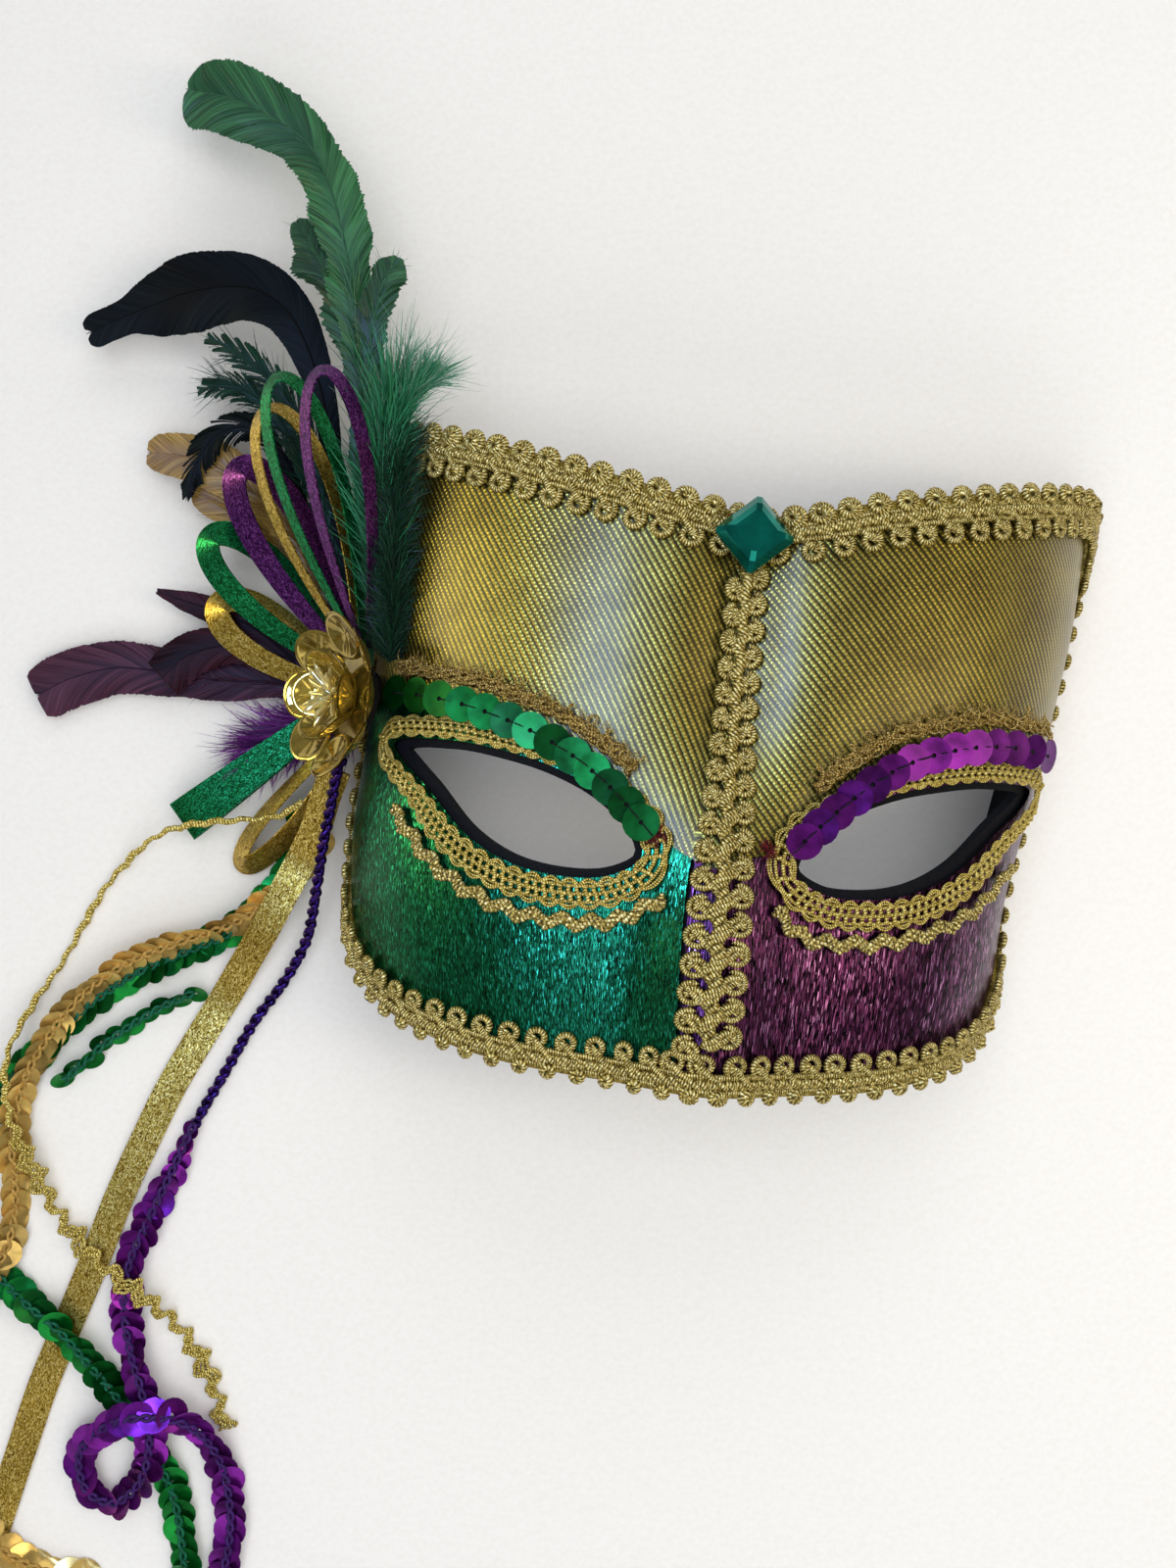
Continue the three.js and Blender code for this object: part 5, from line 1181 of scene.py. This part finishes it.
plumeRoot = {"out": 4.6, "height": 2.2, "width": 1.2}
plainPlume = {"worn": 0.0, "stripe": 0.24, "ripple": 1.0, "roughness": 0.5, "gloss": 0.35,
              "sideBlade": (1, 1), "downs": (), "extra": ()}
plumes = {
    "green_plume": {"root": 82, "vanes": [
        [(-76.6, 34, 19.6, 2.6), (-78.4, 48, 21.4, 4), (-79.5, 63, 24.4, 6), (-80.5, 77, 26.4, 8),
         (-83.5, 92, 27, 10), (-87.5, 106, 25, 11), (-92, 118, 23, 11), (-98, 128, 20, 14),
         (-107, 134, 18, 16), (-117, 138, 16, 14), (-124.5, 139.5, 14, 8), (-127, 140, 13.5, 1)],
        [(-80.2, 75, 26.2, 3), (-86.5, 90, 26, 8), (-91.5, 101, 23.5, 8), (-96.5, 108.5, 21, 5),
         (-99.5, 112, 19.5, 1)],
        [(-80.2, 75, 26.3, 3), (-79.6, 87, 29, 7), (-78.6, 97, 28.6, 7), (-76, 104, 27.5, 1)]],
        "shades": ("#104c28", "#438a53"), "quill": "#24603c", "slot": "green_feather", "sheen": "#6cc890",
        "fray": 0.09, "worn": 4.5, "sideBlade": (2.0, 0.6), "stripe": 0.2, "splits": 0.006, "slant": 1.5,
        "ripple": 0.8,
        "downs": [down(900, 0.08, 0.5, 10, 0.2, 0.3, vane=0), down(200, 0.1, 0.9, 5, 0.4, 0.16)]},
    "marabou": {"root": 36, "vanes": [
        [(-72.6, 34, 24.4, 3), (-74.6, 52, 28, 7), (-74, 67, 33, 11), (-72, 79, 34.5, 11),
         (-67.5, 91, 34, 1)],
        [(-74.4, 60, 31.4, 4), (-70, 73, 36, 8), (-63.5, 81, 35, 1)]],
        "shades": ("#0a6236", "#42b07a"), "slot": "green_feather", "sheen": "#90dcb8",
        "downs": [down(1700, 0.1, 0.72, 15, 0.26, 0.32, vane=0), down(900, 0, 0.7, 9, 0.3, 0.28, vane=1),
                  down(300, 0.45, 0.85, 10, 0.6, 0.14, shades=("#52b083", "#c0e0d0"))],
        "extra": [([(-70, 21, 26, 3), (-69.5, 28, 27, 4), (-70.5, 40, 29, 5), (-71, 54, 31, 6),
                    (-71, 66, 33.5, 6)],
                   down(2600, 0, 1, 8.5, 1.1, 0.24, shades=("#02160c", "#0d4a2a")))]},
    "black_plume": {"root": 98, "vanes": [
        [(-80.2, 34, 14.2, 2.4), (-85.4, 53, 16.4, 3.5), (-89, 72, 20, 6), (-94, 85, 20.6, 10),
         (-100, 93.5, 20, 15), (-108, 97.5, 18, 17), (-120, 97, 14.5, 14), (-131, 93.5, 11, 8),
         (-140, 89.5, 9, 7), (-145, 87, 8, 2)]],
        "shades": ("#05080c", "#141e26"), "quill": "#050505", "slot": "black_feather", "sheen": "#2c4452",
        "fray": 0.04, "splits": 0.0, "slant": 1.6, "roughness": 0.55, "gloss": 0.06, "ripple": 0.3,
        "stripe": 0.12},
    "green_hackles": {"root": 115, "vanes": [
        [(-82, 35, 9.8, 2.4), (-94, 69, 15.5, 6), (-102, 79, 15, 6), (-111, 85, 13.5, 4),
         (-118, 88, 11.5, 0.8)],
        [(-82, 35, 9.7, 2.4), (-97, 67.5, 14.2, 6), (-105, 75, 13.4, 6), (-112, 78, 12.2, 4),
         (-119, 76.5, 10.5, 0.8)]],
        "shades": ("#06231a", "#15503a"), "quill": "#0e3527", "slot": "dark_green_feather",
        "sheen": "#4fae88",
        "fray": 0.25, "splits": 0.34, "slant": 2.8, "gloss": 0.2,
        "downs": [down(420, 0.3, 0.9, 8, 0.4, 0.22)]},
    "black_hackle": {"root": 142, "vanes": [
        [(-85.6, 36, 8.4, 2.4), (-99, 64, 11.2, 6), (-107, 69.5, 11, 7), (-114, 67.5, 10.2, 6),
         (-118, 61.5, 9, 4), (-120, 53, 7.6, 0.8)]],
        "shades": ("#050606", "#101a16"), "quill": "#080808", "slot": "black_feather", "sheen": "#2c4a40",
        "fray": 0.3, "splits": 0.2, "slant": 2.4, "gloss": 0.07},
    "tan_plume": {"root": 163, "vanes": [
        [(-86, 32, 5.8, 4), (-96, 48, 6.2, 9), (-105, 56, 6.4, 11), (-114, 61, 7, 10), (-122, 63, 6.2, 8),
         (-130, 63, 5.8, 2)],
        [(-86, 31.6, 5.7, 3.4), (-97, 44, 5, 8), (-107, 51, 5.4, 8), (-114, 54, 5, 6), (-119, 56, 4.8, 1)]],
        "shades": ("#8e6a24", "#d6b25a"), "quill": "#8a6a38", "slot": "tan_feather", "sheen": "#e6cc82",
        "fray": 0.06, "splits": 0.01, "slant": 1.8, "downs": [down(420, 0.1, 0.7, 10, 0.3, 0.3)]},
    "maroon_plume": {"root": 189, "vanes": [
        [(-83, 16.4, 8.6, 2.6), (-91, 19, 5.4, 4.5), (-99, 22, 5.2, 8), (-109, 22.5, 5, 10),
         (-117, 19.5, 5.2, 9), (-122, 14, 5.6, 4)],
        [(-91, 19, 5.5, 3), (-103, 27, 5.1, 6), (-112, 30, 5.1, 5), (-119, 31.5, 5.4, 3),
         (-125, 33, 5.8, 0.8)]],
        "shades": ("#16060a", "#451a26"), "quill": "#1c0a10", "slot": "maroon_feather", "sheen": "#a06078",
        "fray": 0.08, "splits": 0.0, "slant": 2.0, "gloss": 0.07, "ripple": 0.4, "stripe": 0.12},
    "purple_plume": {"root": 216, "vanes": [
        [(-82.6, 12.4, 6, 2.6), (-89, 13.4, 3, 5), (-98, 15.5, 2.6, 9), (-110, 15, 2.8, 10),
         (-122, 15.5, 3, 12), (-133, 15.5, 3.2, 13), (-143, 12, 3.2, 11), (-150, 7.5, 3, 3)]],
        "shades": ("#260c20", "#643a50"), "quill": "#2c1630", "slot": "purple_feather", "sheen": "#b890b8",
        "fray": 0.06, "splits": 0.01, "slant": 1.8, "gloss": 0.1, "ripple": 0.6, "stripe": 0.16,
        "downs": [down(260, 0.15, 0.6, 7, 0.5, 0.2)]},
    "purple_fluff": {"root": 239, "vanes": [
        [(-83, 9, 6.6, 3), (-89, 6.5, 4, 7), (-96, 3, 3, 9), (-101.5, -1, 2.6, 2)]],
        "shades": ("#4a1460", "#9632b2"), "slot": "purple_feather", "sheen": "#a860c8",
        "downs": [down(2500, 0.05, 0.8, 12, 0.55, 0.4)]},
}
shaft = {"steps": 240, "least": 0.3, "lift": 0.3, "thick": (0.45, 0.1)}
barb = {"perMm": 4, "end": 0.985, "waves": (1.1, 2.3, 4.7), "wornFrom": 0.78, "wornFull": 0.5, "margin": 8,
        "sweep": 0.85, "droop": 0.12, "clump": 1.1}
barbSteps = np.linspace(0, 1, 9)
downTaper = np.array([0.8, 1.0, 1.0, 0.9, 0.75, 0.6, 0.4, 0.12])
firstPlumeSeed = 20


def shaftFrame(rows):
    line = smoothLine(rows, shaft["steps"])
    centre, width = line[:, :3], np.maximum(line[:, 3], shaft["least"])
    along = unit(np.gradient(centre, axis=0))
    side = unit(np.cross(along, [0.0, 0.0, 1.0]))
    return centre, side, np.cross(side, along), width / 2


def alongShaft(values, t):
    n = len(values)
    at = np.clip(t, 0, 1) * (n - 1)
    return np.stack([np.interp(at, np.arange(n), values[:, k]) for k in range(values.shape[1])], -1)


# A vane: barbs swept forward from the shaft and zipped into a sheet, which parts at a few places
def vanePart(rows, spec, fray, shadow, draw):
    centre, side, out, half = shaftFrame(rows)
    length = lineLength(centre)
    deep, pale = (tintOf(code) for code in spec["shades"])
    thick = np.linspace(*shaft["thick"], len(centre))
    parts = [tubes(centre + out * shaft["lift"], thick, 6, tint=tintOf(spec["quill"]))]
    count = int(length * barb["perMm"])
    root = np.linspace(0, barb["end"], count)
    far = root * length
    halfAt = np.interp(root, np.linspace(0, 1, len(half)), half)
    # ragged towards the root
    worn = 1 + spec["worn"] * (1 - smoothStep(barb["wornFull"], barb["wornFrom"], root))
    clumpAt = np.arange(0, length + 2, barb["clump"])
    ripple = spec["ripple"]
    v = barbSteps
    for hand in (-1, 1):
        ragged = sum(draw.normal(0, 0.5) * np.sin(far / step + draw.uniform(0, turn))
                     for step in barb["waves"])
        reach = halfAt * (1 + fray * (0.4 * worn * ragged + draw.normal(0, 0.25, count) * np.sqrt(worn)))
        parted = np.zeros(count)
        inside = np.arange(barb["margin"], count - barb["margin"])
        splits = draw.choice(inside, int(length * spec["splits"]), replace=False)
        for at in splits:
            gap = np.arange(count) - at - 0.5
            parted += draw.uniform(0.4, 1.3) * np.sign(gap) * np.exp(-np.abs(gap) / draw.uniform(5, 14))
        t = (root[:, None] + (spec["slant"] * halfAt / length)[:, None] * v ** barb["sweep"]
             + (parted / length)[:, None] * v ** 2)
        wave = 0.5 * np.sin(far / 7 + draw.uniform(0, turn)) + 0.3 * np.sin(far / 2.7 + draw.uniform(0, turn))
        lift = 0.35 + (0.12 * ripple * wave * halfAt)[:, None] * v - barb["droop"] * halfAt[:, None] * v ** 2
        lift = lift + draw.normal(0, 0.05 * ripple, (count, 1)) * v
        points = (alongShaft(centre, t) + alongShaft(side, t) * (reach[:, None] * v * hand)[..., None]
                  + alongShaft(out, t) * lift[..., None])
        broad = np.sin(far / 11 + draw.uniform(0, turn)) + 0.7 * np.sin(far / 4.3 + draw.uniform(0, turn))
        clumps = np.interp(far, clumpAt, draw.normal(0, spec["stripe"], len(clumpAt)))
        mix = np.clip(0.42 + 0.2 * broad + clumps + draw.normal(0, 0.08, count), 0, 1)[:, None, None]
        mix = np.clip(mix + 0.25 * (v[None, :, None] - 0.5), 0, 1)
        uv = np.stack(np.broadcast_arrays(far[:, None], v[None]), -1)
        vane = gridPart(points, uv, tint=(deep + (pale - deep) * mix) * shadow)
        whole = np.ones((count - 1, len(v) - 1), bool)
        whole[splits, 2:] = False
        keep = whole.ravel()
        vane["faces"], vane["uv"] = vane["faces"][keep], vane["uv"][keep]
        parts.append(vane)
    return parts


# Down and wisps: soft filaments that leave the shaft, lean forward and curl
def downPart(rows, shades, spec, draw):
    centre, side, out = shaftFrame(rows)[:3]
    count, spread = spec["count"], spec["spread"]
    t0 = spec["start"] + (spec["end"] - spec["start"]) * draw.uniform(0, 1, count)
    v = np.linspace(0, 1, len(downTaper))
    size = spec["reach"] * draw.uniform(0.45, 1.2, count)
    along = unit(alongShaft(np.gradient(centre, axis=0), t0))
    sway = draw.normal(0, spread, count)
    lead = unit(along + alongShaft(side, t0) * sway[:, None]
                + alongShaft(out, t0) * (draw.normal(0, spread * 0.5, count) + 0.1)[:, None])
    curl = draw.normal(0, 0.16, (count, 3))
    points = (alongShaft(centre, t0)[:, None] + lead[:, None] * (size[:, None] * v)[..., None]
              + curl[:, None] * (size[:, None] * v ** 2)[..., None])
    deep, pale = (tintOf(code) for code in spec.get("shades", shades))
    mix = np.clip(draw.uniform(-0.2, 0.7, (count, 1, 1)) + 0.5 * v[None, :, None], 0, 1)
    sideways = unit(np.cross(unit(np.gradient(points, axis=1)), draw.normal(0, 1, (count, 1, 3))))
    return strips(points, sideways, spec["width"] * downTaper, deep + (pale - deep) * mix)


def makePlume(name, spec, seed):
    draw = np.random.default_rng(seed)
    foot = roundStem(spec["root"], plumeRoot["out"], plumeRoot["height"])
    parts = []
    for k, rows in enumerate(spec["vanes"]):
        fray, shadow = spec["sideBlade"]
        if k == 0:
            rows = [tuple(foot) + (plumeRoot["width"],)] + rows
            fray, shadow = 1, 1
        if "splits" in spec:
            parts += vanePart(rows, spec, spec["fray"] * fray, shadow, draw)
        for tuft in spec["downs"]:
            if tuft.get("vane", k) == k:
                parts.append(downPart(rows, spec["shades"], tuft, draw))
    for rows, tuft in spec["extra"]:
        parts.append(downPart(rows, spec["shades"], tuft, draw))
    material = makeFeather(name.replace("_", " "), spec["sheen"], spec["roughness"], spec["gloss"])
    build(name + "_barbs", join(parts), material, [name])


for plumeNumber, (plumeName, plumeSpec) in enumerate(plumes.items()):
    makePlume(plumeName, {**plainPlume, **plumeSpec}, firstPlumeSeed + plumeNumber)
print("feathers made")

# Ribbon loops: place round the stem, tip, dip, breadth, width, and lean, or None where the loop lies flat
loopShape = {"out": 9, "height": 4.6, "waist": 1.1, "fullness": 1.6, "neck": 0.64, "gather": 0.26,
             "steps": 120, "skin": 0.16}
loops = {
    "purple_loop_narrow": (70, (-86, 75.5, 44), 0, 12, 4, 40),
    "green_loop_narrow": (90, (-96, 75, 37), 1, 13, 4, 40),
    "gold_loop_narrow": (110, (-99, 70, 30), 2, 14, 4, 40),
    "purple_loop_wide": (131, (-105, 58.5, 23.4), 3.6, 11.6, 6.4, 62),
    "green_loop_wide": (150, (-111.5, 44.5, 16.6), 4, 11.4, 6.4, 62),
    "gold_loop_wide": (177, (-110.5, 31, 8.4), 3, 10, 6.4, 66),
    "green_loop_tail": (200, (-115, -17, 3.8), 0.6, 2.6, 9.5, None),
    "gold_loop_tail": (262, (-101, -25, 3.8), 3.4, 7, 6.4, 40),
}


def makeLoop(name, root, tip, dip, breadth, width, tilt):
    shape = loopShape
    foot = roundStem(root, shape["out"], shape["height"])
    reach = np.array(tip) - foot
    level = unit(np.array([-reach[1], reach[0], 0.0]))
    swing = np.array([0.0, 0.0, 1.0]) if tilt is None else level
    t = np.linspace(0, 1, shape["steps"])
    bow = np.sin(math.pi * t)
    swell = np.sin(turn * t) * bow ** shape["waist"] * breadth / shape["fullness"]
    apart = shape["neck"] * np.sign(0.5 - t) * (1 - bow)
    gone = (1 - np.cos(turn * t)) / 2
    line = foot + reach * gone[:, None] + swing * (swell + apart)[:, None]
    line[:, 2] -= dip * np.sin(math.pi * gone)
    along = unit(np.gradient(line, axis=0))
    if tilt is None:
        wide = np.tile(level, (len(t), 1))
    else:
        lean = math.radians(tilt)
        away = unit(np.stack([-along[:, 1], along[:, 0], np.zeros(len(t))], 1))
        wide = np.array([0, 0, math.cos(lean)]) - away * math.sin(lean)
    thin = unit(np.cross(wide, along))
    half = width / 2 * (shape["gather"] + (1 - shape["gather"]) * bow)
    part = ribbonPart(line, wide, thin, half, shape["skin"])
    shade = name.split("_")[0]
    build(name + "_weave", part, ribbonCloth[shade], [name])


for loopName, loopSpec in loops.items():
    makeLoop(loopName, *loopSpec)
print("ribbon loops made")

# Strings of sequins: overlapping discs on a chain stitched cord
strings = {
    "purple_sequin_string": {"film": "purple", "ropeSpans": 9, "route": [
        (-77, 4.6, 23.6), (-79.2, -2.4, 21.6), (-80.6, -10, 17.4), (-82, -19, 14), (-83.2, -29, 9.8),
        (-85, -40, 5), (-89.5, -50, 2), (-95.5, -60, 1.6), (-100.5, -71, 1.6), (-106, -83, 1.6),
        (-110, -94, 1.6), (-114, -105, 1.6), (-117.4, -115, 1.6), (-118, -124, 1.6), (-115, -135, 2.6),
        (-111.5, -142, 4.4), (-108.6, -152, 4.6), (-110, -162.5, 4), (-116, -168.5, 2),
        (-122, -166.5, 1.6), (-124.4, -159, 1.8), (-119.5, -151.6, 4.4), (-111, -147, 7.4),
        (-101.5, -148, 5.4), (-94.5, -155, 2), (-90.5, -165, 1.6),
        (-89.5, -175, 1.6), (-90.5, -183, 1.6)]},
    "gold_sequin_string": {"film": "gold", "roll": 0.95, "route": [
        (-84.6, -19, 4), (-87.4, -24, 3.8), (-91, -29.4, 3.9), (-96, -34.4, 4), (-103, -39, 4),
        (-113, -43.5, 4), (-123, -48.6, 4), (-132, -56, 4), (-139, -66, 4), (-144, -78, 4),
        (-145.5, -92, 2.6), (-144, -104, 1.4), (-144.4, -114, 2.8), (-148.4, -124, 4.4), (-152, -138, 3),
        (-152.4, -155, 1.4), (-148, -170, 1.4), (-141, -179, 3), (-132, -184.5, 1.6), (-121, -186.5, 1.4)]},
    "green_sequin_string": {"film": "green", "route": [
        (-89, -13, 3), (-90.4, -21, 1.5), (-93.5, -30, 1.4), (-102.5, -40.5, 1.4), (-112.5, -46, 1.4),
        (-123, -52, 1.4), (-132.5, -60, 1.4), (-141.5, -70, 1.4), (-149.6, -81, 1.4), (-154, -94, 1.4),
        (-153.5, -108, 1.4), (-148, -119, 1.4), (-140, -126, 2), (-131, -131.5, 3), (-124.5, -138, 2.4),
        (-116, -147, 1.4), (-108, -157, 1.4), (-102.5, -167, 1.4), (-100, -176, 1.4), (-98.6, -184, 1.4)]},
    "green_sequin_tail": {"film": "green", "roll": 0.9, "radius": 2.7, "route": [
        (-109, -54.4, 1.4), (-114.4, -57.4, 1.4), (-121, -62, 1.4), (-129, -69, 1.4), (-136, -77, 1.4)]},
}
stringSequin = {"radius": 3.75, "pitch": 3.5, "tilt": 13, "cup": 0.3, "rise": 0.35, "chain": 0.42,
                "link": 2.6, "chainStep": 0.25, "chainSwing": 0.6, "chainRise": 1.25, "dense": 1600,
                "ropeLay": 5.2, "ropeWide": 0.62, "ropeHigh": 0.5, "ropeTint": (0.14, 0.3, 0.36),
                "ropeOverlap": 12, "least": 0.55, "grow": 24, "tint": (0.6, 1.5)}
chainShades = {"purple": ("#24103e", "#4a2474"), "gold": ("#8a6a28", "#cda85c"),
               "green": ("#06402a", "#157050")}


def makeString(name, spec):
    size, film, route = stringSequin, spec["film"], spec["route"]
    ropeSpans = spec.get("ropeSpans", 0)
    dense = smoothLine(route, size["dense"])
    length = lineLength(dense)
    count = int(length / size["pitch"])
    line = smoothLine(route, count)
    along, level, out = flatFrame(line)
    draw = np.random.default_rng(len(name))
    ropeEnd = np.array(route[ropeSpans], float)
    rope = np.argmin(np.linalg.norm(dense - ropeEnd, axis=1)) / size["dense"]
    gone = np.linspace(0, 1, count)
    lean = np.radians(size["tilt"] + draw.normal(0, 9, count))[:, None]
    roll = spec.get("roll", 0.0) + 0.3 * np.sin(np.arange(count) * 0.8 + 1) + draw.normal(0, 0.16, count)
    facing = unit(out * np.cos(lean) + along * np.sin(lean) + level * roll[:, None])
    centres = line + out * size["rise"] + level * draw.normal(0, 0.35, (count, 1))
    # random tone per disc; tints above 1 brighten some discs past the film's colour as painted highlights
    tint = draw.uniform(*size["tint"], (count, 1)) * np.ones((count, 3))
    radius = np.full(count, spec.get("radius", size["radius"]))
    if ropeSpans:
        radius *= size["least"] + (1 - size["least"]) * smoothStep(0, size["grow"], (gone - rope) * length)
    flat = gone >= rope
    parts = [sequins(centres[flat], facing[flat], along[flat], radius[flat], size["cup"], tint[flat], seed=2)]
    if ropeSpans:  # the first stretch is wound tight, so the discs' edges make a rope
        head = dense[:int(size["dense"] * rope) + size["ropeOverlap"]]
        far = np.linspace(0, length * rope, len(head))
        headLevel, headRise = flatFrame(head)[1:]
        for phase in (0, turn / 2):
            angle = turn * far / size["ropeLay"] + phase
            strand = (head + headLevel * (size["ropeWide"] * np.cos(angle))[:, None]
                      + headRise * (size["ropeHigh"] * np.sin(angle))[:, None])
            parts.append(tubes(strand, 0.68 + 0.1 * np.sin(far * 4), 7, tint=size["ropeTint"]))
    build(name + "_discs", join(parts), films[film], [name])
    fine = int(length * (1 - rope) / size["chainStep"])
    path = smoothLine(route, int(length / size["chainStep"]))[-fine:]
    pathLevel, pathRise = flatFrame(path)[1:]
    phase = math.pi * np.linspace(0, length * (1 - rope), fine) / size["link"]
    chain = []
    for hand in (-1, 1):
        swing = hand * size["chainSwing"] * np.sin(phase)
        rise = size["chainRise"] + 0.2 * hand * np.cos(phase)
        chain.append(path + pathLevel * swing[:, None] + pathRise * rise[:, None])
    cord = makeYarn(film + " chain stitch cord", *chainShades[film], roughness=0.7)
    build(name + "_chain", tubes(np.array(chain), size["chain"], 5), cord)


for stringName, stringSpec in strings.items():
    makeString(stringName, stringSpec)
print("sequin strings made")

# A pale table top and soft studio light. Lamps: name, place, size across and along, power, colour.
table = {"half": 3.0, "z": -0.0003, "pulp": 900.0}
sky = {"colour": "#eef2f8", "strength": 0.2}
lamps = [("far_soft", (0, 760, 650), (900, 500), 1.7, "#ffffff"),
         ("near_soft", (0, -760, 650), (900, 500), 2.0, "#ffffff"),
         ("over_fill", (0, 0, 950), (900, 900), 5.2, "#fdfdff"),
         ("cool_strip", (-178, 66, 540), (150, 280), 3.4, "#98b8ff"),
         ("warm_side", (-620, 60, 150), (120, 500), 1.9, "#fcf4c2"),
         ("right_soft", (420, 0, 430), (120, 420), 0.9, "#fff2da")]
lampAim = (0, 10, 40)
stripTurn = math.radians(-50)
mirroredOnly = ("cool_strip", "warm_side")  # seen in metal and film, without lighting the table


def makeStage():
    half, z = table["half"], table["z"]
    mesh = bpy.data.meshes.new("table_top")
    corners = [(-half, -half, z), (half, -half, z), (half, half, z), (-half, half, z)]
    mesh.from_pydata(corners, [], [(0, 1, 2, 3)])
    paper, tree, shader = newMaterial("pale matt paper", {"Roughness": 0.95, "Specular IOR Level": 0.0})
    pulp = noise(tree, table["pulp"], 3.0, inSpace(tree))
    feed(tree, shader, {"Base Color": ramp(tree, pulp, [(0.3, "#f8f7f5"), (0.7, "#fdfdfc")])})
    mesh.materials.append(paper)
    floor = bpy.data.objects.new("table_top", mesh)
    bpy.context.collection.objects.link(floor)
    world = bpy.data.worlds.new("studio")
    world.use_nodes = True
    feed(world.node_tree, world.node_tree.nodes["Background"],
         {"Color": colour(sky["colour"]), "Strength": sky["strength"]})
    bpy.context.scene.world = world
    for name, place, size, power, code in lamps:
        lamp = bpy.data.lights.new(name, "AREA")
        lamp.shape = "RECTANGLE"
        lamp.size, lamp.size_y = size[0] * mm, size[1] * mm
        lamp.energy = power
        lamp.color = colour(code)[:3]
        made = bpy.data.objects.new(name, lamp)
        made.visible_diffuse = name not in mirroredOnly
        made.visible_glossy = name != "over_fill"  # metal does not mirror the fill
        made.location = inPart(place)
        aim = Vector(inPart(lampAim)) - made.location
        turned = Quaternion((0, 0, 1), stripTurn if name == "cool_strip" else 0)
        made.rotation_euler = (aim.to_track_quat("-Z", "Y") @ turned).to_euler()
        bpy.context.collection.objects.link(made)


makeStage()
bpy.context.scene.view_settings.view_transform = "Standard"
